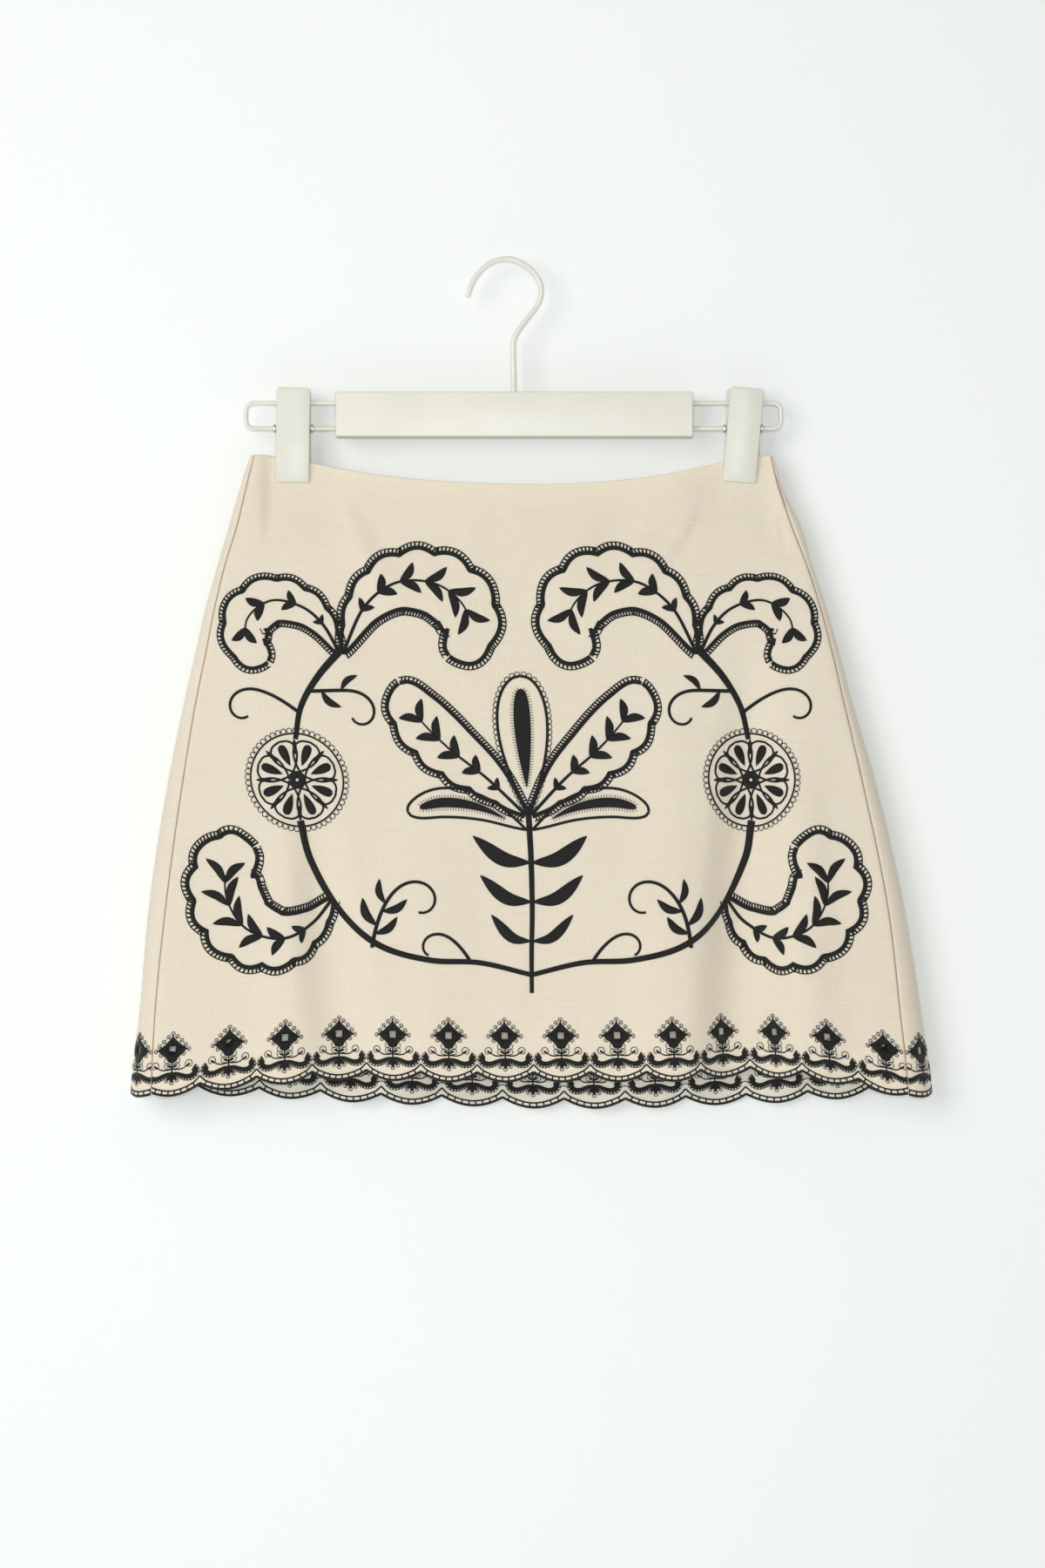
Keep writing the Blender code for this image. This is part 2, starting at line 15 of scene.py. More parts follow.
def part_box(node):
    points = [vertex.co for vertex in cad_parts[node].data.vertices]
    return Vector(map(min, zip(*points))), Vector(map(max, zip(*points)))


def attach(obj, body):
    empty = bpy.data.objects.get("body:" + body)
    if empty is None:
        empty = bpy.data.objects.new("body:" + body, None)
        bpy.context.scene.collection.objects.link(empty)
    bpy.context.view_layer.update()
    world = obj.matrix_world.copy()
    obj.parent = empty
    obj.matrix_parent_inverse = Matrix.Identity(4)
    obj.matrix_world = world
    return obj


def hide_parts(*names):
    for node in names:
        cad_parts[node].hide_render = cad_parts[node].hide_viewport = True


MM = 0.001

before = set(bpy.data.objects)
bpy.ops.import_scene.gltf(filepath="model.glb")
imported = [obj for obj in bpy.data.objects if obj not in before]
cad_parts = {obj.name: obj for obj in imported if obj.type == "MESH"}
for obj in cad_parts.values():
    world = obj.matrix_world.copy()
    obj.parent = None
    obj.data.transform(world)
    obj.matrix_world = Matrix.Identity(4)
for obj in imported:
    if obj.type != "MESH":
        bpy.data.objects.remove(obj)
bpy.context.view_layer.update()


# Sizes of the cloth, as the CAD solids have them
CLOTH = 1.2
PINCHED_HALF = 1.45
SCALLOP_DEPTH = 6.2
SCALLOP_POWER = 1.9
EYELET_WIDTH = 4.8
EYELET_HEIGHT = 5.1
EYELET_RISE = 30.9
BORDER_Z = -520.0

# Ladder along the scallops: heights of its lines above the lowest edge
OUTER_CORD = 0.85
INNER_CORD = 3.65
CUSP_PEAK = 1.5
CUSP_REACH = 3.4

OUTLINE_COLUMNS = ("z", "left", "right", "left_seam", "right_seam", "front", "back", "side")
OUTLINE = (
    (-126.0, -172.2, 173.8, -170.4, 172.4, 5.2, 4.4, 4.6),
    (-142.0, -178.1, 177.9, -174.2, 175.9, 5.4, 4.6, 5.0),
    (-150.0, -180.4, 180.0, -176.1, 178.0, 5.7, 4.75, 5.35),
    (-160.0, -183.3, 184.8, -178.4, 181.2, 6.1, 4.95, 5.8),
    (-174.0, -187.3, 191.8, -181.6, 185.6, 6.6, 5.2, 6.4),
    (-203.0, -195.8, 200.7, -190.4, 197.0, 7.8, 5.8, 7.6),
    (-232.0, -203.8, 210.1, -197.2, 206.2, 9.0, 6.4, 8.8),
    (-261.0, -210.5, 218.5, -202.8, 213.8, 10.0, 7.0, 10.0),
    (-290.0, -217.1, 226.2, -208.6, 220.4, 11.0, 7.6, 11.0),
    (-348.0, -228.8, 243.0, -218.0, 233.5, 13.0, 8.8, 13.0),
    (-435.0, -241.9, 262.7, -229.5, 250.6, 15.4, 10.4, 15.6),
    (-493.0, -246.9, 272.0, -235.4, 257.0, 16.8, 11.4, 17.0),
    (-551.0, -252.9, 279.9, -238.2, 262.8, 18.0, 12.2, 18.4),
    (-570.0, -254.0, 281.6, -238.6, 263.6, 18.2, 12.4, 18.6),
)

# Waist and hem heights across each panel, from the left seam to the right
EDGE_COLUMNS = ("across", "waist", "hem")
FRONT_EDGES = (
    (0.00, -128.9, -555.6),
    (0.05, -130.6, -553.0),
    (0.12, -134.6, -548.6),
    (0.20, -140.2, -545.0),
    (0.30, -144.8, -544.0),
    (0.42, -147.8, -545.0),
    (0.55, -148.8, -545.0),
    (0.68, -146.8, -544.2),
    (0.80, -141.6, -542.6),
    (0.89, -134.9, -545.0),
    (0.95, -131.0, -550.6),
    (1.00, -129.2, -555.8),
)
BACK_EDGES = (
    (0.00, -128.9, -555.6),
    (0.04, -128.4, -554.8),
    (0.12, -134.8, -555.8),
    (0.24, -143.0, -558.6),
    (0.36, -148.8, -562.0),
    (0.50, -151.4, -564.6),
    (0.64, -149.2, -564.0),
    (0.78, -142.8, -560.8),
    (0.90, -135.4, -556.4),
    (0.96, -130.4, -554.8),
    (1.00, -129.2, -555.8),
)

# The solids' long soft folds, then the finer creases that only show on the cloth
FOLD_COLUMNS = ("top_x", "top_z", "foot_x", "foot_z", "height", "top_reach", "foot_reach", "foot_share")
FRONT_FOLDS = (
    (160.0, -215.0, 152.0, -560.0, -14.6, 20.0, 42.0, 1.0),
    (112.0, -215.0, 103.0, -560.0, 4.5, 24.0, 46.0, 1.0),
    (192.0, -250.0, 200.0, -560.0, 3.5, 16.0, 30.0, 1.0),
    (-140.0, -300.0, -105.0, -560.0, -8.0, 16.0, 36.0, 1.0),
    (-150.0, -300.0, -150.0, -560.0, 3.0, 18.0, 30.0, 1.0),
    (-60.0, -330.0, -48.0, -560.0, 3.0, 30.0, 44.0, 1.0),
    (134.0, -150.0, 44.0, -262.0, 3.2, 11.0, 26.0, 0.0),
    (84.0, -150.0, 50.0, -215.0, -2.4, 18.0, 24.0, 0.0),
    (-120.0, -150.0, -78.0, -235.0, 2.6, 12.0, 24.0, 0.0),
)
FRONT_CREASES = (
    (-176.0, -372.0, -196.0, -398.0, -1.1, 5.0, 7.0, 0.0),
    (172.0, -380.0, 186.0, -404.0, -1.1, 5.0, 7.0, 0.0),
    (-158.0, -156.0, -166.0, -200.0, -0.9, 4.0, 7.0, 0.0),
    (-126.0, -152.0, -104.0, -186.0, -1.0, 4.0, 8.0, 0.0),
    (132.0, -156.0, 112.0, -196.0, -1.1, 5.0, 9.0, 0.0),
    (176.0, -158.0, 184.0, -206.0, -0.9, 4.0, 7.0, 0.0),
    (30.0, -380.0, 10.0, -560.0, -1.2, 14.0, 22.0, 1.0),
)
BACK_FOLDS = (
    (-70.0, -240.0, -92.0, -565.0, -5.0, 26.0, 44.0, 1.0),
    (-20.0, -260.0, -28.0, -565.0, 4.0, 28.0, 46.0, 1.0),
    (60.0, -250.0, 74.0, -565.0, -4.6, 26.0, 42.0, 1.0),
    (128.0, -280.0, 138.0, -565.0, 4.4, 24.0, 40.0, 1.0),
    (-130.0, -150.0, -60.0, -250.0, 2.2, 12.0, 26.0, 0.0),
    (140.0, -150.0, 70.0, -250.0, 2.2, 12.0, 26.0, 0.0),
)
BACK_CREASES = (
    (-160.0, -150.0, -176.0, -206.0, -0.9, 5.0, 8.0, 0.0),
    (172.0, -152.0, 182.0, -210.0, -0.9, 5.0, 8.0, 0.0),
    (-126.0, -152.0, -98.0, -200.0, -1.0, 5.0, 9.0, 0.0),
    (136.0, -152.0, 108.0, -198.0, -1.0, 5.0, 9.0, 0.0),
    (20.0, -360.0, 26.0, -565.0, -1.4, 14.0, 24.0, 1.0),
)

PINCH_COLUMNS = ("left", "right", "foot")
PINCHES = ((-156.0, -134.0, -147.6), (142.4, 166.0, -147.6))
PINCH_MARGIN = 2.6
PINCH_FADE_IN = 34.0
PINCH_FADE_OUT = 11.0
PINCH_FADE_DOWN = 46.0

# Panels: border repeats and how far the first one's middle lies from the left
# seam in repeats, with the steps that the hand-hung cloth's unevenness starts from
FRONT = {"side": "front", "edges": FRONT_EDGES, "repeats": 13.72, "first": 0.36, "start": 0.0}
BACK = {"side": "back", "edges": BACK_EDGES, "repeats": 14.60, "first": 0.30, "start": 2.1}


def column(table, columns, name):
    """One named column of a table as numbers."""
    return np.array([row[columns.index(name)] for row in table], dtype=float)


def read(table, columns, key, name, where):
    """A named column read at `where` on a smooth curve through the table."""
    xs = column(table, columns, key)
    ys = column(table, columns, name)
    if xs[0] > xs[-1]:
        xs, ys = xs[::-1], ys[::-1]
    slope = np.gradient(ys, xs)
    where = np.clip(where, xs[0], xs[-1])
    at = np.clip(np.searchsorted(xs, where) - 1, 0, len(xs) - 2)
    gap = xs[at + 1] - xs[at]
    t = (where - xs[at]) / gap
    return (
        (2 * t**3 - 3 * t**2 + 1) * ys[at] + (t**3 - 2 * t**2 + t) * gap * slope[at]
        + (3 * t**2 - 2 * t**3) * ys[at + 1] + (t**3 - t**2) * gap * slope[at + 1]
    )


def ease(t):
    """Smooth step from 0 to 1."""
    t = np.clip(t, 0.0, 1.0)
    return t * t * (3 - 2 * t)


def fold_height(folds, x, z):
    """How far the folds lift the cloth at places x along one height z."""
    lift = np.zeros_like(x)
    for row in folds:
        fold = dict(zip(FOLD_COLUMNS, row))
        down = (fold["top_z"] - z) / (fold["top_z"] - fold["foot_z"])
        if down <= 0 or (down >= 1 and fold["foot_share"] == 0):
            continue
        down = min(down, 1.0)
        middle = fold["top_x"] + (fold["foot_x"] - fold["top_x"]) * down
        reach = fold["top_reach"] + (fold["foot_reach"] - fold["top_reach"]) * down
        across = np.clip(np.abs(x - middle) / reach, 0.0, 1.0)
        share = ease(down * 1.6) if fold["foot_share"] else math.sin(math.pi * down)
        lift += fold["height"] * share * 0.5 * (1 + np.cos(math.pi * across))
    return lift


def unevenness(x, z, start):
    """Slight irregular waves of cloth that was hung by hand."""
    waves = np.sin(x / 17.0 + z / 41.0 + start) * np.sin(z / 29.0 - x / 53.0 + 2 * start)
    ripples = np.sin(x / 7.3 - z / 19.0 + 3 * start) * np.sin(z / 13.0 + x / 31.0 + start)
    return 0.30 * waves + 0.10 * ripples


def openness(x, z):
    """0 where a clip pinches the cloth, rising to 1 away from it."""
    free = np.ones_like(x)
    for row in PINCHES:
        pinch = dict(zip(PINCH_COLUMNS, row))
        middle = (pinch["left"] + pinch["right"]) / 2
        inward = np.sign(x - middle) * np.sign(middle) < 0
        beside = np.abs(x - middle) - (pinch["right"] - pinch["left"]) / 2 - PINCH_MARGIN
        fade = np.where(inward, PINCH_FADE_IN, PINCH_FADE_OUT)
        below = max(pinch["foot"] - PINCH_MARGIN - z, 0.0) / PINCH_FADE_DOWN
        far = np.hypot(np.clip(beside, 0.0, None) / fade, below)
        free = free * ease(far)
    return free


def half_ring(z, depth_name, folds, start):
    """The front or the back of the tube at one height, from left tip to right."""
    at = {name: float(read(OUTLINE, OUTLINE_COLUMNS, "z", name, z)) for name in OUTLINE_COLUMNS[1:]}
    turn = np.linspace(0, math.pi / 2, 18)
    straight = np.linspace(at["left"] + at["side"], at["right"] - at["side"], 402)[1:-1]
    x = np.concatenate((
        at["left"] + at["side"] * (1 - np.cos(turn)),
        straight,
        at["right"] - at["side"] * (1 - np.cos(turn[::-1])),
    ))
    rise = np.concatenate((np.sin(turn), np.ones_like(straight), np.sin(turn[::-1])))
    free = openness(x, z)
    from_side = np.minimum(x - at["left"], at["right"] - x)
    lift = fold_height(folds, x, z) + unevenness(x, z, start)
    lift = lift * ease(from_side / (2.2 * at["side"])) * free
    stand = at[depth_name] * free + PINCHED_HALF * (1 - free)
    return x, rise * stand + lift, at


class Tube:
    """The hung skirt's outer surface, read by share across a panel and height.

    A share of 0 is a panel's edge at the left seam and 1 at the right seam.  The
    grid runs a little past both, so that a normal at a seam is the tube's own.
    """

    def __init__(self, across=721, step=2.0, past=0.02):
        self.z = np.arange(-572.0, -126.0 + step, step)
        self.s = np.linspace(-past, 1.0 + past, across)
        self.grid = {side: np.zeros((len(self.z), across, 2)) for side in ("front", "back")}
        self.wide = {side: np.zeros(len(self.z)) for side in ("front", "back")}
        for row, z in enumerate(self.z):
            x, stand, at = half_ring(z, "front", FRONT_FOLDS + FRONT_CREASES, FRONT["start"])
            back_x, back_stand, _ = half_ring(z, "back", BACK_FOLDS + BACK_CREASES, BACK["start"])
            loop_x = np.concatenate((x, back_x[-2:0:-1], x[:1]))
            loop_y = np.concatenate((-stand, back_stand[-2:0:-1], -stand[:1]))
            run = np.concatenate(([0.0], np.cumsum(np.hypot(np.diff(loop_x), np.diff(loop_y)))))
            left = np.interp(at["left_seam"], x, run[:len(x)])
            right = np.interp(at["right_seam"], x, run[:len(x)])
            for side, start, stop in (("front", left, right), ("back", left, right - run[-1])):
                want = start + (stop - start) * self.s
                self.wide[side][row] = abs(stop - start)
                self.grid[side][row, :, 0] = np.interp(want, run, loop_x, period=run[-1])
                self.grid[side][row, :, 1] = np.interp(want, run, loop_y, period=run[-1])

    def place(self, side, s, z):
        """Points on the outer face."""
        row = np.clip((z - self.z[0]) / (self.z[1] - self.z[0]), 0, len(self.z) - 1.001)
        col = np.clip((s - self.s[0]) / (self.s[1] - self.s[0]), 0, len(self.s) - 1.001)
        r, c = row.astype(int), col.astype(int)
        fr, fc = (row - r)[..., None], (col - c)[..., None]
        g = self.grid[side]
        xy = (g[r, c] * (1 - fc) + g[r, c + 1] * fc) * (1 - fr) \
            + (g[r + 1, c] * (1 - fc) + g[r + 1, c + 1] * fc) * fr
        return np.concatenate((xy, z[..., None]), axis=-1)

    def outward(self, side, s, z):
        """Unit normals of the outer face."""
        over = self.place(side, s + 0.003, z) - self.place(side, s - 0.003, z)
        up = self.place(side, s, z + 2.0) - self.place(side, s, z - 2.0)
        normal = np.cross(over, up) if side == "front" else np.cross(up, over)
        return normal / np.linalg.norm(normal, axis=-1, keepdims=True)

    def width(self, side, z):
        """Length of a panel's cloth across, at heights z."""
        return np.interp(z, self.z, self.wide[side])


TUBE = Tube()


def pitch(panel):
    """Width of one border repeat."""
    return float(TUBE.width(panel["side"], BORDER_Z)) / panel["repeats"]


def repeat_place(panel, s):
    """Where a share across the panel falls in its border repeat, from -0.5 to 0.5."""
    t = s * panel["repeats"] - panel["first"]
    return t - np.round(t)


def scallop(u):
    """Height of the lower edge at a place u in its repeat, above the lowest line."""
    return SCALLOP_DEPTH * np.abs(2 * u) ** SCALLOP_POWER


def inner_scallop(u, wide):
    """Height of the ladder's inner line, which peaks where two scallops meet."""
    slope = 2 * SCALLOP_DEPTH * SCALLOP_POWER * np.abs(2 * u) ** (SCALLOP_POWER - 1) / wide
    peak = np.clip(1 - (0.5 - np.abs(u)) * wide / CUSP_REACH, 0, 1)
    gap = (INNER_CORD - OUTER_CORD) * np.hypot(1, slope)
    return scallop(u) + OUTER_CORD + gap + CUSP_PEAK * peak


def hem_line(panel, s):
    """Height of the line through the scallops' lowest points."""
    return read(panel["edges"], EDGE_COLUMNS, "across", "hem", s)


def waist_line(panel, s):
    """Height of the waist edge."""
    return read(panel["edges"], EDGE_COLUMNS, "across", "waist", s)


class Value:
    """A shader number that takes part in plain sums."""

    def __init__(self, paint, socket):
        self.paint = paint
        self.socket = socket

    def math(self, operation, *terms):
        """The number that a Math node makes of these terms."""
        return Value(self.paint, self.paint.node("Math", {"operation": operation}, *terms).outputs[0])

    def __add__(self, other):
        return self.math("ADD", self, other)

    __radd__ = __add__

    def __sub__(self, other):
        return self.math("SUBTRACT", self, other)

    def __rsub__(self, other):
        return self.math("SUBTRACT", other, self)

    def __mul__(self, other):
        return self.math("MULTIPLY", self, other)

    __rmul__ = __mul__

    def sine(self):
        """Sine of the number."""
        return self.math("SINE", self)

    def between(self, low, high):
        """0 below low, 1 above high, smooth between."""
        node = self.paint.node("MapRange", {"interpolation_type": "SMOOTHSTEP"}, self, low, high)
        return Value(self.paint, node.outputs[0])


class Paint:
    """A material and the nodes that feed its Principled shader."""

    def __init__(self, name, **constants):
        self.mat = bpy.data.materials.new(name)
        self.mat.use_nodes = True
        self.tree = self.mat.node_tree
        self.shader = self.tree.nodes["Principled BSDF"]
        for label, value in constants.items():
            self.shader.inputs[label.replace("_", " ")].default_value = value

    def node(self, kind, settings, *values, **named):
        """Any node: its settings, then its sockets' values or links in order or by name."""
        node = self.tree.nodes.new("ShaderNode" + kind)
        for key, value in settings.items():
            setattr(node, key, value)
        wanted = list(zip(node.inputs, values))
        wanted += [(node.inputs[label.replace("_", " ")], value) for label, value in named.items()]
        for socket, value in wanted:
            if isinstance(value, Value):
                value = value.socket
            if isinstance(value, bpy.types.NodeSocket):
                self.tree.links.new(value, socket)
            else:
                socket.default_value = value
        return node

    def feed(self, label, value):
        """Link a value to one of the shader's sockets."""
        socket = value.socket if isinstance(value, Value) else value
        self.tree.links.new(socket, self.shader.inputs[label])

    def stretch(self, vector, *scale):
        """A vector multiplied along each axis."""
        return self.node("VectorMath", {"operation": "MULTIPLY"}, vector, scale).outputs[0]

    def noise(self, vector, detail=2.0, roughness=0.5):
        """Smooth noise whose cells are one unit of the vector wide."""
        node = self.node("TexNoise", {}, Vector=vector, Scale=1.0, Detail=detail, Roughness=roughness)
        return Value(self, node.outputs[0])

    def mix(self, share, first, second):
        """Two colours mixed by a share from 0 to 1."""
        node = self.node("Mix", {"data_type": "RGBA"}, Factor=share)
        for socket, colour in ((node.inputs[6], first), (node.inputs[7], second)):
            if isinstance(colour, bpy.types.NodeSocket):
                self.tree.links.new(colour, socket)
            else:
                socket.default_value = (*colour, 1.0)
        return node.outputs[2]

    def relief(self, height, distance, strength=1.0):
        """Bump from a height from 0 to 1, `distance` metres deep, fed to the normal."""
        node = self.node("Bump", {}, Height=height, Distance=distance, Strength=strength)
        self.feed("Normal", node.outputs[0])

    def surface(self, name):
        """The named UV map, which is laid in metres on every sewn piece."""
        return self.node("UVMap", {"uv_map": name}).outputs[0]

    def parts(self, vector):
        """The numbers x, y and z of a vector."""
        return [Value(self, socket) for socket in self.node("SeparateXYZ", {}, vector).outputs]


# Cloth colours, lit and in the yarns' gaps
CLOTH_PALE = (0.842, 0.735, 0.600)
CLOTH_MIDDLE = (0.790, 0.682, 0.548)
CLOTH_DEEP = (0.700, 0.592, 0.462)
# A cooler, greener copy of the cloth colours, laid on the inner faces
REVERSE_TINT = (0.98, 1.05, 1.10)
YARN = 0.00052
SLUB_LENGTH = 0.017


def cloth_paint(name, tint=(1.0, 1.0, 1.0)):
    """Plain linen-like weave with slubs along both sets of yarns, lit through a little."""
    paint = Paint(name, Roughness=0.88, Sheen_Weight=0.18, Sheen_Roughness=0.45, IOR=1.4)
    paint.shader.inputs["Subsurface Weight"].default_value = 0.5
    paint.shader.inputs["Subsurface Radius"].default_value = (1.0, 0.8, 0.6)
    paint.shader.inputs["Subsurface Scale"].default_value = 0.004
    pale, middle, deep = [tuple(np.multiply(colour, tint)) for colour in (CLOTH_PALE, CLOTH_MIDDLE, CLOTH_DEEP)]
    flat = paint.surface("cloth")
    weft = paint.noise(paint.stretch(flat, 1 / SLUB_LENGTH, 1 / YARN, 1.0), 1.0)
    warp = paint.noise(paint.stretch(flat, 1 / YARN, 1 / SLUB_LENGTH, 1.0), 1.0)
    slubs = paint.noise(paint.stretch(flat, 0.5 / SLUB_LENGTH, 0.6 / YARN, 1.0), 0.0)
    grain = paint.noise(paint.stretch(flat, 1 / YARN, 1 / YARN, 1.0), 1.0)
    tone = paint.noise(paint.stretch(flat, 14.0, 9.0, 1.0), 2.0)
    weave = weft * 0.42 + warp * 0.34 + grain * 0.24
    colour = paint.mix(weave.between(0.36, 0.64), deep, pale)
    colour = paint.mix(0.62, colour, middle)
    colour = paint.mix(slubs.between(0.60, 0.74) * 0.30, colour, deep)
    colour = paint.mix(tone.between(0.3, 0.7) * 0.22, colour, pale)
    paint.feed("Base Color", colour)
    paint.relief(weave, 0.00022, 0.9)
    return paint.mat


# Thread colours: black, and a painted highlight colour for the lit strands and lustre
THREAD_DARK = (0.0055, 0.0060, 0.0052)
THREAD_LIT = (0.0200, 0.0212, 0.0185)
THREAD_PITCH = 0.00042


def thread_paint(name):
    """Black satin thread, its strands running across each line of stitches, with a painted sheen in its colour."""
    paint = Paint(name, Roughness=0.50, Sheen_Weight=0.08, Sheen_Roughness=0.4, Specular_IOR_Level=0.25)
    laid = paint.surface("stitch")
    along, across, _ = paint.parts(laid)
    wander = paint.noise(paint.stretch(laid, 900.0, 260.0, 1.0), 1.0)
    strands = ((along + across * 0.35) * (2 * math.pi / THREAD_PITCH) + wander * 7.0).sine() * 0.5 + 0.5
    lustre = paint.noise(paint.stretch(laid, 420.0, 90.0, 1.0), 1.0)
    # Painted sheen: the black lightens along the strands' crowns and in patches of lustre
    colour = paint.mix(strands * 0.45 + lustre * 0.35, THREAD_DARK, THREAD_LIT)
    paint.feed("Base Color", colour)
    paint.feed("Roughness", lustre * 0.24 + 0.38)
    paint.relief(strands, 0.00016, 0.8)
    return paint.mat


def moulded_paint(name, pale, deep, roughness, speckle):
    """Moulded plastic with a fine even grain and a faint unevenness of tone."""
    paint = Paint(name, Roughness=roughness, IOR=1.46, Coat_Roughness=0.3)
    place = paint.node("TexCoord", {}).outputs["Object"]
    tone = paint.noise(paint.stretch(place, 30.0, 30.0, 30.0), 3.0)
    grain = paint.noise(paint.stretch(place, speckle, speckle, speckle), 2.0)
    smears = paint.noise(paint.stretch(place, 12.0, 60.0, 90.0), 2.0)
    paint.feed("Base Color", paint.mix(tone.between(0.3, 0.7), deep, pale))
    paint.feed("Roughness", smears * 0.16 + grain * 0.08 + (roughness - 0.12))
    paint.relief(grain, 0.00004, 0.5)
    return paint.mat


def coated_wire_paint(name):
    """Wire with a thick cream coating, slightly orange-peeled."""
    paint = Paint(name, Roughness=0.36, IOR=1.5, Coat_Weight=0.25, Coat_Roughness=0.2)
    place = paint.node("TexCoord", {}).outputs["Object"]
    peel = paint.noise(paint.stretch(place, 700.0, 700.0, 700.0), 1.0)
    tone = paint.noise(paint.stretch(place, 60.0, 60.0, 60.0), 2.0)
    paint.feed("Base Color", paint.mix(tone.between(0.3, 0.7), (0.73, 0.705, 0.61), (0.78, 0.76, 0.67)))
    paint.feed("Roughness", peel * 0.12 + 0.30)
    paint.relief(peel, 0.00006, 0.5)
    return paint.mat


def steel_paint(name):
    """Bright drawn steel of the clips' springs."""
    paint = Paint(name, Metallic=0.85, Roughness=0.4)
    place = paint.node("TexCoord", {}).outputs["Object"]
    drawn = paint.noise(paint.stretch(place, 1500.0, 400.0, 400.0), 2.0)
    tone = paint.noise(paint.stretch(place, 220.0, 220.0, 220.0), 1.0)
    paint.feed("Base Color", paint.mix(tone, (0.62, 0.61, 0.58), (0.76, 0.75, 0.71)))
    paint.feed("Roughness", drawn * 0.25 + 0.32)
    paint.relief(drawn, 0.00003, 0.5)
    return paint.mat


def tape_paint(name):
    """Fine herringbone-like zip tape."""
    paint = Paint(name, Roughness=0.82, Sheen_Weight=0.15)
    place = paint.node("TexCoord", {}).outputs["Object"]
    yarns = paint.noise(paint.stretch(place, 1 / 0.0006, 1 / 0.0006, 1 / 0.0003), 1.0)
    tone = paint.noise(paint.stretch(place, 60.0, 60.0, 60.0), 1.0)
    colour = paint.mix(yarns.between(0.35, 0.65), (0.62, 0.54, 0.43), (0.78, 0.70, 0.58))
    paint.feed("Base Color", paint.mix(tone * 0.3, colour, (0.70, 0.61, 0.49)))
    paint.relief(yarns, 0.00015, 0.8)
    return paint.mat


def ride_with_skirt(obj, slot, *replaced):
    """Every piece rides on the one body and hides the CAD parts it replaces; the slot it is given is not used."""
    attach(obj, "root")
    if replaced:
        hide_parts(*replaced)
    return obj


def sewn_object(name, points, faces, uvs, uv_name, mat, smooth_angle=60.0):
    """A mesh from millimetre points, with a UV map in metres."""
    mesh = bpy.data.meshes.new(name)
    mesh.from_pydata((points * MM).tolist(), [], faces)
    layer = mesh.uv_layers.new(name=uv_name)
    corners = np.zeros(len(mesh.loops), dtype=np.int32)
    mesh.loops.foreach_get("vertex_index", corners)
    layer.data.foreach_set("uv", (uvs * MM)[corners].ravel())
    mesh.materials.append(mat)
    mesh.shade_smooth()
    mesh.set_sharp_from_angle(angle=math.radians(smooth_angle))
    obj = bpy.data.objects.new(name, mesh)
    bpy.context.scene.collection.objects.link(obj)
    return obj


# Columns of the shell within one repeat, and near a seam in millimetres
HALF_EYE = EYELET_WIDTH / 2
REPEAT_STEPS = (-0.5, -0.455, -0.40, -0.33, -0.26, -0.19, -0.12, 0.12, 0.19, 0.26, 0.33, 0.40, 0.455)
SEAM_STEPS = (0.7, 1.6, 2.8)
SEAM_ROLL = 1.6
SEAM_SINK = 0.75
EDGE_ROUND = 0.35
UPPER_STEP = 2.9
EYELET_ROWS = (EYELET_RISE - EYELET_HEIGHT / 2, EYELET_RISE + EYELET_HEIGHT / 2)
BAND_TOP = 48.0


def shell_columns(panel):
    """Shares across a panel: scallop cusps, eyelet sides and the seams' rolled edges."""
    wide = pitch(panel)
    steps = REPEAT_STEPS + (-HALF_EYE / wide, 0.0, HALF_EYE / wide)
    full = wide * panel["repeats"]
    near = SEAM_STEPS[-1] / full + 0.001
    marks = [0.0, 1.0] + [v for d in SEAM_STEPS for v in (d / full, 1 - d / full)]
    for k in range(-1, int(panel["repeats"]) + 2):
        for step in steps:
            s = (panel["first"] + k + step) / panel["repeats"]
            if near < s < 1 - near:
                marks.append(s)
    return np.array(sorted(marks))


def shell_rows(panel, s):
    """Heights of the shell's rows, from the scalloped edge to the waist."""
    edge = scallop(repeat_place(panel, s)) + OUTER_CORD
    rows = [edge + (17.0 - edge) * share for share in (0, 0.12, 0.35, 0.65, 1.0)]
    rows += [np.full_like(s, h) for h in (20.0, 23.0, 26.0, EYELET_ROWS[0], EYELET_RISE, EYELET_ROWS[1])]
    rows += [np.full_like(s, h) for h in (36.4, 40.0, 44.0, BAND_TOP)]
    hem = hem_line(panel, s)
    rows = [hem + row for row in rows]
    low, top = rows[-1], waist_line(panel, s)
    count = int(round(float(np.mean(top - low)) / UPPER_STEP))
    rows += [low + (top - low) * k / count for k in range(1, count)]
    rows += [top - 0.8, top]
    return np.array(rows)


def seam_sink(panel, s, z):
    """How far the cloth rolls inward beside a seam."""
    wide = TUBE.width(panel["side"], z)
    near = np.minimum(s, 1 - s) * wide
    return SEAM_SINK * np.clip(1 - near / SEAM_ROLL, 0, 1) ** 2


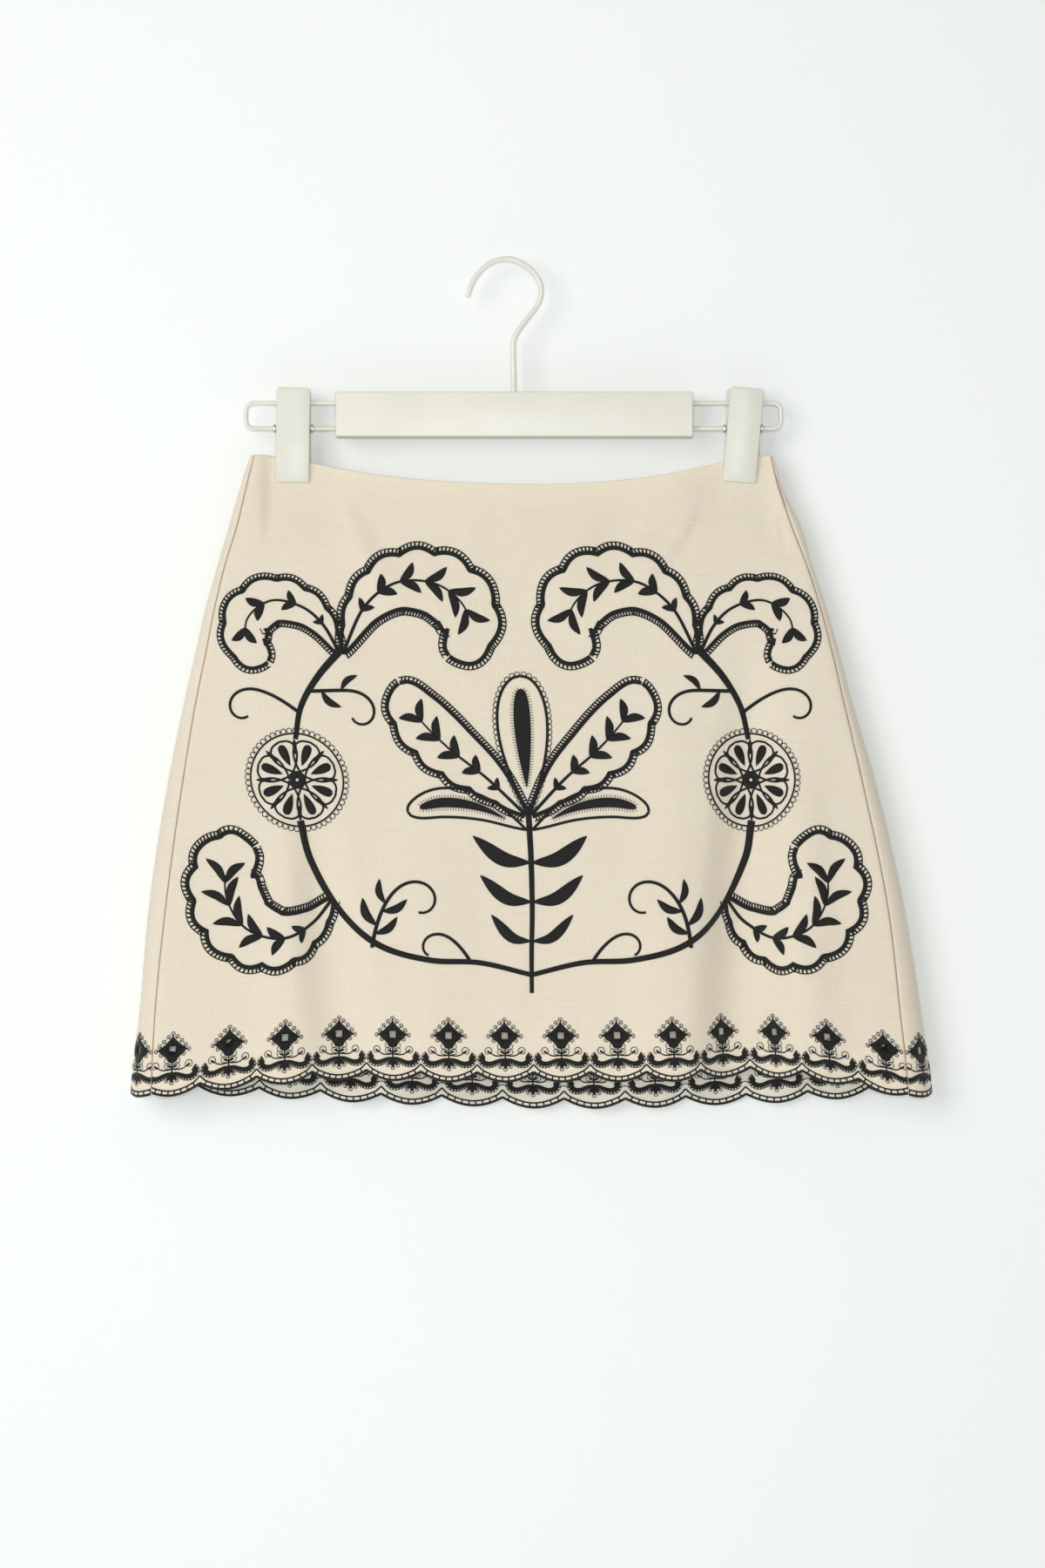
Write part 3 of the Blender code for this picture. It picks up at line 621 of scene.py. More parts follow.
def build_shell(panel, name, mat, reverse):
    """One panel as a thin shell: woven cloth with cut eyelets and a scalloped edge."""
    side = panel["side"]
    s = shell_columns(panel)
    rows = shell_rows(panel, s)
    across, high = len(s), len(rows)
    s_grid = np.broadcast_to(s, rows.shape)
    out = TUBE.outward(side, s_grid, rows)
    outer = TUBE.place(side, s_grid, rows) - out * seam_sink(panel, s_grid, rows)[..., None]
    inner = TUBE.place(side, s_grid, rows) - out * CLOTH
    middle = (outer + inner) / 2
    half_eye = HALF_EYE / pitch(panel) + 1e-6
    eyelet_row = 8
    holes = set()
    for c in range(across - 1):
        if abs(repeat_place(panel, (s[c] + s[c + 1]) / 2)) < half_eye:
            holes.update(((eyelet_row, c), (eyelet_row + 1, c)))
    faces, rims = [], {}
    for r in range(high - 1):
        for c in range(across - 1):
            if (r, c) in holes:
                continue
            a = r * across + c
            quad = (a, a + 1, a + across + 1, a + across)
            faces.append(quad if side == "front" else quad[::-1])
            for k in range(4):
                edge = (faces[-1][k], faces[-1][(k + 1) % 4])
                if (edge[1], edge[0]) in rims:
                    del rims[(edge[1], edge[0])]
                else:
                    rims[edge] = True
    count = across * high
    shell = list(faces) + [tuple(v + count for v in face[::-1]) for face in faces]
    rim_of = {}
    points = np.concatenate((outer.reshape(-1, 3), inner.reshape(-1, 3)))
    extra, pushes = [], {}
    for a, b in rims:
        for v in (a, b):
            if v not in rim_of:
                rim_of[v] = 2 * count + len(extra)
                extra.append(middle.reshape(-1, 3)[v])
                pushes[v] = np.zeros(3)
        run = outer.reshape(-1, 3)[b] - outer.reshape(-1, 3)[a]
        push = np.cross(run, out.reshape(-1, 3)[a])
        for v in (a, b):
            pushes[v] += push / max(np.linalg.norm(push), 1e-9)
        shell.append((b, a, rim_of[a], rim_of[b]))
        shell.append((rim_of[b], rim_of[a], a + count, b + count))
    for v, push in pushes.items():
        at = rim_of[v] - 2 * count
        seam = v % across in (0, across - 1)
        size = np.linalg.norm(push)
        if size > 1e-6 and not seam:
            extra[at] = extra[at] + push / size * EDGE_ROUND
    points = np.concatenate((points, np.array(extra)))
    x_flat = (s_grid - 0.5) * TUBE.width(side, rows)
    flat = np.stack((x_flat, rows), axis=-1).reshape(-1, 2)
    uvs = np.concatenate((flat, flat + (0.3, 0.3), flat[list(rim_of)] + (0.1, 0.1)))
    obj = sewn_object(name, points, shell, uvs, "cloth", mat, 50.0)
    obj.data.materials.append(reverse)
    slots = np.zeros(len(shell), dtype=np.int32)
    slots[len(faces):2 * len(faces)] = 1
    obj.data.polygons.foreach_set("material_index", slots)
    return obj


# Seam strips: a dark joint line, its colour partly painted shade of the groove, widened at the right seam's top into a
# painted shadow in the zip's slit
SEAM_LINE = 0.7
SEAM_SHADE_COLOUR = (0.40, 0.19, 0.10)
SEAM_RAISED = 0.06
SLIT_SHADOW_HEIGHTS = (-168.0, -154.0, -146.0, -142.0)
SLIT_SHADOW_WIDTHS = (SEAM_LINE, 1.5, 1.5, SEAM_LINE)
ZIP_THICK = 1.0
ZIP_OFF = CLOTH + 0.9
ZIP_TOP = -133.2
ZIP_FOOT = -304.2
ZIP_FRONT_TOP = 1.2
ZIP_HALF = 9.0


def zip_tape(mat):
    """Closed tape of the concealed zip, inside the right seam."""
    rows = []
    for z in np.linspace(ZIP_TOP, ZIP_FOOT, 60):
        front_half = ZIP_FRONT_TOP + (ZIP_HALF - ZIP_FRONT_TOP) * float(ease((ZIP_TOP - z - 20) / 30))
        for off in (ZIP_OFF, ZIP_OFF + ZIP_THICK):
            for side, reach in (("front", np.linspace(front_half, 0, 5)), ("back", np.linspace(0, ZIP_HALF, 7)[1:])):
                s = 1 - reach / TUBE.width(side, z)
                at = np.full_like(s, z)
                rows.append(TUBE.place(side, s, at) - TUBE.outward(side, s, at) * off)
    points = np.concatenate(rows).reshape(60, 2, 11, 3)
    ring = np.concatenate((points[:, 0], points[:, 1, ::-1]), axis=1)
    flat = ring.reshape(-1, 3)
    faces = []
    for r in range(59):
        for c in range(22):
            a, b = r * 22 + c, r * 22 + (c + 1) % 22
            faces.append((a, a + 22, b + 22, b))
    faces.append(tuple(range(22)))
    faces.append(tuple(59 * 22 + c for c in range(21, -1, -1)))
    uvs = np.stack((np.tile(np.arange(22.0), 60), np.repeat(np.arange(60.0) * 3, 22)), axis=-1)
    return sewn_object("side_zip_tape", flat, faces, uvs, "stitch", mat)




def seam_paint(name):
    """The joint between two panels: a dark line whose colour is partly painted shade of the seam's groove."""
    paint = Paint(name, Roughness=0.95)
    laid = paint.surface("stitch")
    tone = paint.noise(paint.stretch(laid, 300.0, 60.0, 1.0), 2.0)
    paint.feed("Base Color", paint.mix(tone * 0.45, SEAM_SHADE_COLOUR, CLOTH_DEEP))
    return paint.mat


def build_seam(name, s, mat):
    """A narrow strip of painted seam shade along a side seam, from the hem to the waist; near the right seam's top it
    widens into a painted shadow in the zip's slit.
    """
    z = np.linspace(float(hem_line(FRONT, s)) + SCALLOP_DEPTH, float(waist_line(FRONT, s)) - 0.4, 160)
    # On the right seam the strip widens between these heights: a painted shadow in the zip's slit
    line = np.interp(z, SLIT_SHADOW_HEIGHTS, SLIT_SHADOW_WIDTHS) if s > 0.5 else np.full_like(z, SEAM_LINE)
    rows = []
    for sign in (-1, 0, 1):
        sink = SEAM_SINK * (1 - abs(sign) * line / 2 / SEAM_ROLL) ** 2
        place = s + sign * line / 2 / TUBE.width("front", z)
        out = TUBE.outward("front", place, z)
        rows.append(TUBE.place("front", place, z) - out * (sink - SEAM_RAISED)[:, None])
    points = np.stack(rows, axis=1).reshape(-1, 3)
    uvs = np.stack((np.tile((0.0, SEAM_LINE / 2, SEAM_LINE), len(z)), np.repeat(z, 3)), axis=-1)
    faces = []
    for k in range(0, 3 * len(z) - 3, 3):
        faces += [(k, k + 1, k + 4, k + 3), (k + 1, k + 2, k + 5, k + 4)]
    return sewn_object(name, points, faces, uvs, "stitch", mat)


# Relief of the embroidery above the cloth, with edges sunk just below its face
SUNK = 0.16
SATIN = 0.62
LINE = 0.50

# Rounding across a strip of stitches: share of the way across, share of the height
PLUMP = ((0.0, 0.0), (0.05, 0.45), (0.22, 0.82), (0.5, 1.0), (0.78, 0.82), (0.95, 0.45), (1.0, 0.0))
ROUNDED = ((0.0, 0.0), (0.10, 0.70), (0.5, 1.0), (0.90, 0.70), (1.0, 0.0))
FINE = ((0.0, 0.0), (0.14, 1.0), (0.86, 1.0), (1.0, 0.0))


def smooth(points, step=1.0):
    """Even steps along a smooth line through the given places."""
    pts = np.array(points, dtype=float)
    pts = np.concatenate(([2 * pts[0] - pts[1]], pts, [2 * pts[-1] - pts[-2]]))
    t = np.linspace(0, 1, 24, endpoint=False)[:, None]
    dense = []
    for k in range(1, len(pts) - 2):
        p0, p1, p2, p3 = pts[k - 1:k + 3]
        dense.append(0.5 * (
            2 * p1 + (p2 - p0) * t + (2 * p0 - 5 * p1 + 4 * p2 - p3) * t**2
            + (3 * p1 - p0 - 3 * p2 + p3) * t**3
        ))
    return even(np.concatenate(dense + [pts[-2:-1]]), step)


def even(route, step=1.0):
    """The same line in even steps."""
    route = np.asarray(route, dtype=float)
    run = lengths(route)
    want = np.linspace(0, run[-1], max(3, int(round(run[-1] / step)) + 1))
    return at_run(route, run, want)


def lengths(route):
    """How far along a line each of its places lies."""
    return np.concatenate(([0.0], np.cumsum(np.linalg.norm(np.diff(route, axis=0), axis=1))))


def at_run(values, run, want):
    """Pairs of values that go with a line, read at wanted lengths along it."""
    return np.stack([np.interp(want, run, values[:, k]) for k in range(2)], axis=-1)


def left_of(route):
    """Unit directions to the left of a line."""
    along = np.gradient(route, axis=0)
    along = along / np.maximum(np.linalg.norm(along, axis=1, keepdims=True), 1e-9)
    return np.stack((-along[:, 1], along[:, 0]), axis=-1)


def heading(angle):
    """Unit direction at an angle in degrees from the right, turning up."""
    return np.array((math.cos(math.radians(angle)), math.sin(math.radians(angle))))


def arc(centre, radius, start, stop, step=0.8):
    """Part of a circle, with angles in degrees; two radii make it an oval."""
    radii = np.broadcast_to(radius, 2)
    span = abs(math.radians(stop - start)) * float(np.mean(radii))
    turn = np.radians(np.linspace(start, stop, max(5, int(span / step) + 1)))
    return np.array(centre) + np.stack((np.cos(turn), np.sin(turn)), axis=-1) * radii


def scroll(start, angle, spans, step=0.8):
    """A curling line: each span is its length and the degrees it turns in its first and last millimetre."""
    places, at, turned = [np.array(start, dtype=float)], np.array(start, dtype=float), float(angle)
    for length, first, last in spans:
        count = max(3, int(length / step))
        for share in (np.arange(count) + 0.5) / count:
            turned += (first + (last - first) * share) * length / count
            at = at + heading(turned) * length / count
            places.append(at)
    return np.array(places)


class Stitches:
    """Embroidery as strips in a flat design, x across and y up, in millimetres."""

    def __init__(self):
        self.points, self.lift, self.uvs, self.faces = [], [], [], []
        self.count = 0

    def add(self, points, lift, uv, tube=False):
        """Keep one strip: rows of places, their height and their UV."""
        rows, across = lift.shape
        a = (np.arange(rows - 1)[:, None] * across + np.arange(across - 1)).ravel()
        quads = np.stack((a, a + 1, a + across + 1, a + across), axis=-1)
        flat = points.reshape(-1, 2)
        if not tube:
            one = flat[quads[:, 2]] - flat[quads[:, 0]]
            two = flat[quads[:, 3]] - flat[quads[:, 1]]
            turned = one[:, 0] * two[:, 1] - one[:, 1] * two[:, 0] < 0
            quads[turned] = quads[turned][:, ::-1]
        self.faces.append(quads + self.count)
        self.points.append(flat)
        self.lift.append(lift.ravel())
        self.uvs.append(uv.reshape(-1, 2))
        self.count += len(flat)

    def between(self, left, right, height=SATIN, profile=PLUMP, twin=False, lay=0.0):
        """Satin stitches from one line to another, rounded across by the profile."""
        left, right = np.asarray(left, dtype=float), np.asarray(right, dtype=float)
        share, dome = np.array(profile).T
        points = left[:, None] + (right - left)[:, None] * share[None, :, None]
        width = np.linalg.norm(right - left, axis=1)[:, None]
        lift = (SUNK + lay + height * np.clip(width / 1.2, 0.4, 1)) * dome - SUNK
        run = lengths((left + right) / 2)[:, None] + 0 * share
        uv = np.stack((run, (share - 0.5) * width), axis=-1)
        self.add(points, lift, uv)
        if twin:
            self.add(points * (-1, 1), lift, uv)

    def line(self, route, width, height=LINE, profile=ROUNDED, twin=False, lay=0.0):
        """A line of stitches; width may change along it."""
        half = np.broadcast_to(np.asarray(width, dtype=float), len(route))[:, None] / 2
        side = left_of(route) * half
        self.between(route + side, route - side, height, profile, twin, lay)

    def hair(self, route, width, twin=False):
        """One or two strands laid along a line."""
        self.line(route, width, 0.34, FINE, twin)

    def leaf(self, route, width, power=0.8, height=SATIN, twin=False, lay=0.0):
        """A satin leaf or petal that is pointed at both ends."""
        u = np.linspace(0, 1, len(route))
        self.line(route, width * np.sin(math.pi * u) ** power, height, PLUMP, twin, lay)

    def petal(self, base, tip, width, twin=False, bend=0.0, step=0.9, power=0.8):
        """A straight or slightly bent leaf from base to tip."""
        base, tip = np.array(base, dtype=float), np.array(tip, dtype=float)
        side = np.array((-(tip - base)[1], (tip - base)[0])) * bend
        self.leaf(smooth((base, (base + tip) / 2 + side, tip), step), width, power, twin=twin)

    def cord(self, route, width, thick, middle):
        """A closed cord seen from both faces, centred `middle` above the outer face."""
        side = left_of(route)
        turn = np.radians((180, 120, 60, 0, -60, -120, -180))
        points = route[:, None] - side[:, None] * (np.cos(turn) * width / 2)[None, :, None]
        lift = np.broadcast_to(middle + np.sin(turn) * thick / 2, points.shape[:2]).copy()
        run = lengths(route)[:, None] + 0 * turn
        uv = np.stack((run, np.broadcast_to(np.linspace(0, 3 * width, 7), run.shape)), axis=-1)
        self.add(points, lift, uv, tube=True)

    def gathered(self):
        """All strips as arrays."""
        return (
            np.concatenate(self.points), np.concatenate(self.lift),
            np.concatenate(self.uvs), np.concatenate(self.faces),
        )


def picot(st, centre, angle, twin=False, size=1.25, grain=True):
    """A small open loop of thread with a dark grain in it, opening towards the motif."""
    centre = np.array(centre, dtype=float)
    st.hair(arc(centre, size, angle - 128, angle + 128, 0.55), 0.62, twin)
    if grain:
        st.petal(centre - heading(angle) * 1.9, centre + heading(angle) * 0.45, 1.15, twin, step=0.6)


def blanket(st, route, width, spacing, inner=0.0, twin=False, edge=0.5, rung=0.8, lean=0.18):
    """Rungs of blanket stitch from a line out to the edge on its right, and that edge."""
    width = np.broadcast_to(width, len(route))
    run, side = lengths(route), left_of(route)
    count = max(2, int(round(run[-1] / spacing)))
    for at in (np.arange(count) + 0.5) * run[-1] / count:
        place, out = at_run(route, run, at), -at_run(side, run, at)
        half = np.interp(at, run, width) / 2
        aslant = np.array((-out[1], out[0])) * lean
        ends = np.array((place + out * inner, place + (out + aslant) * half))
        st.line(ends, (rung, rung * 0.8), 0.42, FINE, twin)
    if edge:
        st.hair(route - side * (width / 2 - edge / 3)[:, None], edge, twin)


# Border repeat, measured from its eyelet's middle
DIAMOND_UPPER = ((0, 10.0), (1.5, 7.3), (4.0, 4.8), (6.8, 2.3), (10.2, 0.2))
DIAMOND_LOWER = ((10.2, 0.2), (7.2, -2.5), (4.6, -5.0), (2.7, -7.2), (0, -9.2))
SIDE_PICOTS = ((2.9, 8.4, 55), (5.8, 5.6, 48), (8.4, 2.7, 42), (10.6, -0.4, 0), (7.3, -3.1, -50))
BAR_ROUTE = (
    (0, -16.4), (3.2, -16.7), (6.3, -17.9), (9.2, -19.0), (12.2, -19.1), (14.5, -18.0),
    (15.7, -16.1), (15.4, -13.9), (14.0, -12.9),
)


def border_diamond(st):
    """Satin diamond round the cut eyelet, with picot loops on its upper sides."""
    corner = np.array((EYELET_WIDTH, EYELET_HEIGHT)) / 2 + 0.1
    for outline, fall in ((smooth(DIAMOND_UPPER, 1.1), 1), (smooth(DIAMOND_LOWER, 1.1), -1)):
        turn_at = corner * (1, fall)
        hole = np.array(((0, turn_at[1]), turn_at, (turn_at[0], 0)))[::fall]
        run = lengths(hole)
        inside = at_run(hole, run, np.linspace(0, run[-1], len(outline)))
        st.between(outline, inside, SATIN, PLUMP, twin=True)
    for x, y, angle in SIDE_PICOTS:
        picot(st, (x, y), angle, twin=True)
    picot(st, (0, 10.5), 90)


def border_eyelet(st):
    """Overcast rim of the eyelet, wrapped from face to face."""
    x, y = EYELET_WIDTH / 2 + 0.05, EYELET_HEIGHT / 2 + 0.05
    rim = np.array(((0, y), (-x, y), (-x, -y), (x, -y), (x, y), (0, y)))
    st.cord(even(rim, 0.5), 0.8, CLOTH + 0.9, -CLOTH / 2)


def border_foot(st):
    """Stem, paired leaves in loops and the thin cross line with its two buds."""
    st.line(even(((0, -8.4), (0, -16.2))), 1.1)
    for y, reach in ((-7.2, 3.6), (-10.6, 3.9)):
        st.petal((0.3, y - 1.6), (reach, y + 0.5), 1.6, twin=True, bend=0.06)
        loop = ((0.6, y - 0.9), (2.4, y + 1.7), (4.4, y + 1.5), (5.1, y - 0.1), (4.2, y - 1.6), (1.0, y - 2.2))
        st.hair(smooth(loop, 0.7), 0.55, twin=True)
    cross = smooth(((0, -12.8), (2.6, -13.2), (5.4, -13.3), (7.6, -12.8), (9.1, -11.6)), 0.8)
    st.line(cross, np.linspace(1.1, 0.85, len(cross)), twin=True)
    st.petal((8.7, -12.1), (12.0, -9.5), 1.7, twin=True, bend=-0.08)
    st.hair(arc((11.0, -10.0), 2.3, 235, -85, 0.7), 0.6, twin=True)


def border_bar(st):
    """Blanket-stitched bar that curls up at both ends, over a three-petalled foot."""
    route = smooth(BAR_ROUTE, 0.8)
    u = np.linspace(0, 1, len(route))
    width = np.interp(u, (0, 0.25, 0.6, 0.85, 1), (3.2, 3.8, 4.6, 4.9, 4.5))
    solid = np.interp(u, (0, 0.55, 0.85, 1), (0.72, 0.72, 0.84, 0.84))
    side = left_of(route)
    st.line(route + side * (width * (1 - solid) / 2)[:, None], width * solid, SATIN, PLUMP, twin=True)
    blanket(st, route, width, 1.6, inner=0.4, twin=True, edge=0.5, rung=1.3)
    st.petal((0, -16.6), (0, -22.2), 3.0, power=0.7)
    st.petal((0.3, -16.9), (3.5, -20.6), 2.3, twin=True, power=0.7)
    picot(st, (0, -22.0), -90, size=1.25, grain=False)
    picot(st, (3.4, -20.5), -48, twin=True, size=1.05, grain=False)


def border_motif():
    """One repeat of the border's flat embroidery."""
    st = Stitches()
    border_diamond(st)
    border_foot(st)
    border_bar(st)
    return st


RUNG_WIDTH = 1.1
RUNGS = 8
CUSP_CELL = 0.084


def ladder_lines(wide):
    """The ladder's inner line, and the low and high end of each rung."""
    u = np.concatenate((np.linspace(-0.5, -0.42, 5), np.linspace(-0.38, 0.38, 20), np.linspace(0.42, 0.5, 5)))
    inner = np.stack((u * wide, inner_scallop(u, wide) - EYELET_RISE), axis=-1)
    rungs = []
    for at in np.linspace(-0.5 + CUSP_CELL, 0.5 - CUSP_CELL, RUNGS):
        low = np.array((at * wide, scallop(at) + OUTER_CORD - EYELET_RISE))
        steep = 2 * SCALLOP_DEPTH * SCALLOP_POWER * abs(2 * at) ** (SCALLOP_POWER - 1) / wide
        up = np.array((-math.copysign(steep, at), 1.0)) / math.hypot(steep, 1.0)
        rungs.append((low, low + up * (INNER_CORD - OUTER_CORD)))
    return u, inner, rungs


def border_ladder(wide):
    """Flat stitches of the scalloped edge: the inner line and the rungs, with thread links."""
    st = Stitches()
    _, inner, rungs = ladder_lines(wide)
    st.line(inner, 1.15, 0.42)
    for low, high in rungs:
        st.line(np.linspace(low, high, 3), RUNG_WIDTH, 0.40)
    half = wide / 2
    st.hair(smooth(((17.0, -16.6), (half - 0.4, -15.7), (half + 0.6, -15.7)), 0.8), 0.65, twin=True)
    return st


def border_rims(wide):
    """Cord that binds the scalloped edge, and the eyelet's overcast rim."""
    st = Stitches()
    u, _, _ = ladder_lines(wide)
    outer = np.stack((u * wide, scallop(u) + OUTER_CORD - EYELET_RISE), axis=-1)
    st.cord(outer, 2.05, CLOTH + 0.8, -CLOTH / 2)
    border_eyelet(st)
    return st


def spikes(st, route, reach, spacing, twin=False):
    """Fine hairs standing out from a line on its right."""
    run, side = lengths(route), left_of(route)
    for at in np.arange(spacing, run[-1] - spacing / 2, spacing):
        place, out = at_run(route, run, at), -at_run(side, run, at)
        hair = np.array((place, place + out * reach * 0.5, place + out * reach))
        st.line(hair, (0.65, 0.5, 0.3), 0.36, FINE, twin)


def loop_edge(st, route, spacing, twin=False, size=1.7):
    """Open loops along a line, on its right."""
    run, side = lengths(route), left_of(route)
    count = int(run[-1] / spacing)
    for at in (np.arange(count) + 0.5) * run[-1] / count:
        place, out = at_run(route, run, at), -at_run(side, run, at)
        angle = math.degrees(math.atan2(out[1], out[0]))
        st.hair(arc(place + out * size * 0.8, size, angle - 130, angle + 130, 0.7), 0.65, twin)


def banded(st, route, width, twin=False):
    """A blanket-stitched band on the right of a line: dense at the line, open outward."""
    width = np.broadcast_to(width, len(route))
    side = left_of(route)
    st.line(route - side * (width * 0.25)[:, None], width * 0.56, SATIN, ROUNDED, twin)
    blanket(st, route, width * 2, 2.1, inner=0.3, twin=twin, edge=0.9, rung=1.5, lean=0.25)


def drop_sides(spine, width, lobes=(0, 0)):
    """Both sides of a drop, round at the spine's start and pointed at its end; lobes notch them."""
    v = np.linspace(0, 1, len(spine))
    half = width / 2 * 2.72 * np.sqrt(v) * (1 - v) ** 0.95
    side = left_of(spine)
    wavy = [half * (1 + 0.20 * (np.abs(np.sin(math.pi * count * v)) - 0.6) * (count > 0)) for count in lobes]
    return spine + side * wavy[0][:, None], spine - side * wavy[1][:, None]


def drop(st, spine, width, twin=False, line=2.1, core=0.5, spiky=False, loops=False):
    """An outlined drop with a satin core, its round end at the spine's start."""
    left, right = drop_sides(spine, width)
    for route in (left[::-1], right):
        st.line(route, line, twin=twin)
        if loops:
            loop_edge(st, route, 3.5, twin)
    if core:
        inner = spine[int(len(spine) * 0.10):int(len(spine) * 0.84)]
        v = np.linspace(0, 1, len(inner))
        fat = np.maximum(width * core * 1.45 * v ** 0.42 * (1 - v) ** 0.9, 0.2)
        st.line(inner, fat, SATIN, PLUMP, twin)
        if spiky:
            side = left_of(inner) * (fat / 2)[:, None]
            spikes(st, inner - side, 2.0, 1.8, twin)
            spikes(st, (inner + side)[::-1], 2.0, 1.8, twin)


def banded_drop(st, spine, width, band, twin=False, leaflets=5, lobes=(0, 0)):
    """A drop edged with blanket stitch, a midrib and satin leaflets inside."""
    left, right = drop_sides(spine, width, lobes)
    banded(st, right, band, twin)
    banded(st, left[::-1], band, twin)
    run, side = lengths(spine), left_of(spine)
    rib = spine[int(len(spine) * 0.20):]
    st.line(rib[::-1], np.linspace(2.6, 1.2, len(rib)), twin=twin)
    for v in np.linspace(0.80, 0.24, leaflets):
        place, out = at_run(spine, run, v * run[-1]), at_run(side, run, v * run[-1])
        back = np.array((out[1], -out[0])) * -1
        reach = max(width * 1.36 * math.sqrt(v) * (1 - v) ** 0.95 * 0.92, 4.0)
        for sign in (1, -1):
            tip = place + (out * sign * 0.66 + back * 0.75) * reach
            st.petal(place + out * sign * 0.4, tip, min(6.0, reach * 0.46), twin, bend=0.12 * sign)


def flower(st, centre, radius, petals, twin=False, turn=0.0):
    """A round flower of outlined petals with spiky cores, loops round it and an open eye."""
    centre = np.array(centre, dtype=float)
    for k in range(petals):
        ahead = heading(turn + 360.0 * k / petals)
        spine = even((centre + ahead * radius, centre + ahead * radius * 0.22), 1.0)
        drop(st, spine, radius * 0.60, twin, 1.5, 0.62)
        st.petal(centre + heading(turn + 360.0 * (k + 0.5) / petals) * radius * 0.62,
                 centre + heading(turn + 360.0 * (k + 0.5) / petals) * radius * 1.02, 3.0, twin)
    st.line(arc(centre, radius * 0.13, 0, 360), radius * 0.2, twin=twin)
    loop_edge(st, arc(centre, radius * 1.16, 0, 360), 3.7, twin)
    st.line(arc(centre, radius * 1.14, 0, 360), 1.3, twin=twin)


def sprig(st, route, width, leaves, length, twin=False):
    """A curling stem with satin leaves: each one's share along it, side and size."""
    st.line(route, width, twin=twin)
    run, side = lengths(route), left_of(route)
    for share, sign, size in leaves:
        place, out = at_run(route, run, share * run[-1]), at_run(side, run, share * run[-1])
        ahead = np.array((out[1], -out[0]))
        tip = place + (out * sign * 0.66 + ahead * 0.75) * length * size
        st.petal(place, tip, length * 0.30 * size, twin, bend=0.14 * sign)


def middle_design():
    """The large design: mirrored vines that sweep up from a tulip, through a flower, to curled leaves."""
    st = Stitches()

    # Vine from the foot of the tulip out to the flower, and on to the curled leaves
    low = smooth(((0, -474), (34, -466), (68, -464), (102, -454), (130, -430), (147, -398), (152, -372)), 1.2)
    st.line(low, np.linspace(3.4, 5.4, len(low)), SATIN, ROUNDED, True)
    high = smooth(((151, -318), (146, -296), (134, -276), (118, -258)), 1.2)
    st.line(high, np.linspace(3.6, 5.6, len(high)), SATIN, ROUNDED, True)
    flower(st, (152, -345), 27, 8, True, 22.5)

    # Two curled leaves at the top, their points on the vine
    inner_leaf = smooth(((46, -262), (34, -250), (36, -230), (54, -215), (80, -214), (102, -230), (117, -260)), 1.2)
    banded_drop(st, inner_leaf, 38, 5.6, True, 6, (9, 0))
    outer_leaf = smooth(((168, -266), (180, -256), (180, -238), (164, -226), (144, -230), (130, -242), (119, -262)), 1.2)
    banded_drop(st, outer_leaf, 27, 4.8, True, 4, (0, 8))

    # Curled leaf below the flower, outside the vine
    low_leaf = smooth(((186, -390), (202, -400), (206, -422), (194, -443), (170, -450), (148, -440), (134, -424)), 1.2)
    banded_drop(st, low_leaf, 42, 5.8, True, 6, (10, 0))

    # Fine tendrils and sprigs
    tendril = scroll((141, -286), 182, ((26, -0.6, 0.6), (46, 1.6, 9.0)))
    sprig(st, tendril, np.linspace(2.8, 1.8, len(tendril)), ((0.12, 1, 0.9), (0.30, -1, 0.8)), 19, True)
    outer = scroll((148, -300), 38, ((28, -0.2, -1.2), (44, -1.6, -9.0)))
    st.line(outer, np.linspace(2.6, 1.8, len(outer)), twin=True)
    inner = scroll((106, -456), 98, ((36, 0.2, 1.4), (56, 1.4, 7.5)))
    sprig(st, inner, np.linspace(3.0, 1.8, len(inner)),
          ((0.10, 1, 1.0), (0.16, -1, 1.1), (0.27, 1, 1.0), (0.33, -1, 0.9)), 19, True)
    foot = scroll((40, -466), 60, ((20, -0.6, -1.6), (32, -2.0, -10.0)))
    st.line(foot, np.linspace(2.6, 1.8, len(foot)), twin=True)

    # Tulip on its stem in the middle
    st.line(even(((0, -486), (0, -362)), 1.2), np.linspace(3.0, 4.4, 104), SATIN, ROUNDED)
    drop(st, smooth(((0, -276), (0, -312), (0, -366)), 1.2), 31, False, 2.1, 0.60, True, True)
    petal = smooth(((80, -282), (70, -302), (50, -324), (26, -344), (2, -368)), 1.2)
    banded_drop(st, petal, 33, 5.2, True, 5, (6, 0))
    drop(st, smooth(((80, -366), (56, -360), (30, -364), (2, -378)), 1.2), 18, True, 2.0, 0.60, True)
    for y, size in ((-400, 1.0), (-426, 0.9), (-452, 0.72)):
        leaf = smooth(((0, y), (19 * size, y + 3), (38 * size, y + 18)), 1.2)
        st.leaf(leaf, 10.5 * size, twin=True)
    return st


def lay_on_cloth(panel, s, z, lift, inner):
    """Places on the outer or the inner face, lifted off the cloth."""
    side = panel["side"]
    out = TUBE.outward(side, s, z)
    sink = seam_sink(panel, s, z)
    height = -CLOTH - lift if inner else lift - sink
    return TUBE.place(side, s, z) + out * height[:, None]


def border_shares(panel, k, points):
    """Where a motif's places fall on the panel, for repeat k."""
    s = (panel["first"] + k + points[:, 0] / pitch(panel)) / panel["repeats"]
    z = hem_line(panel, s) + EYELET_RISE + points[:, 1]
    return s, z


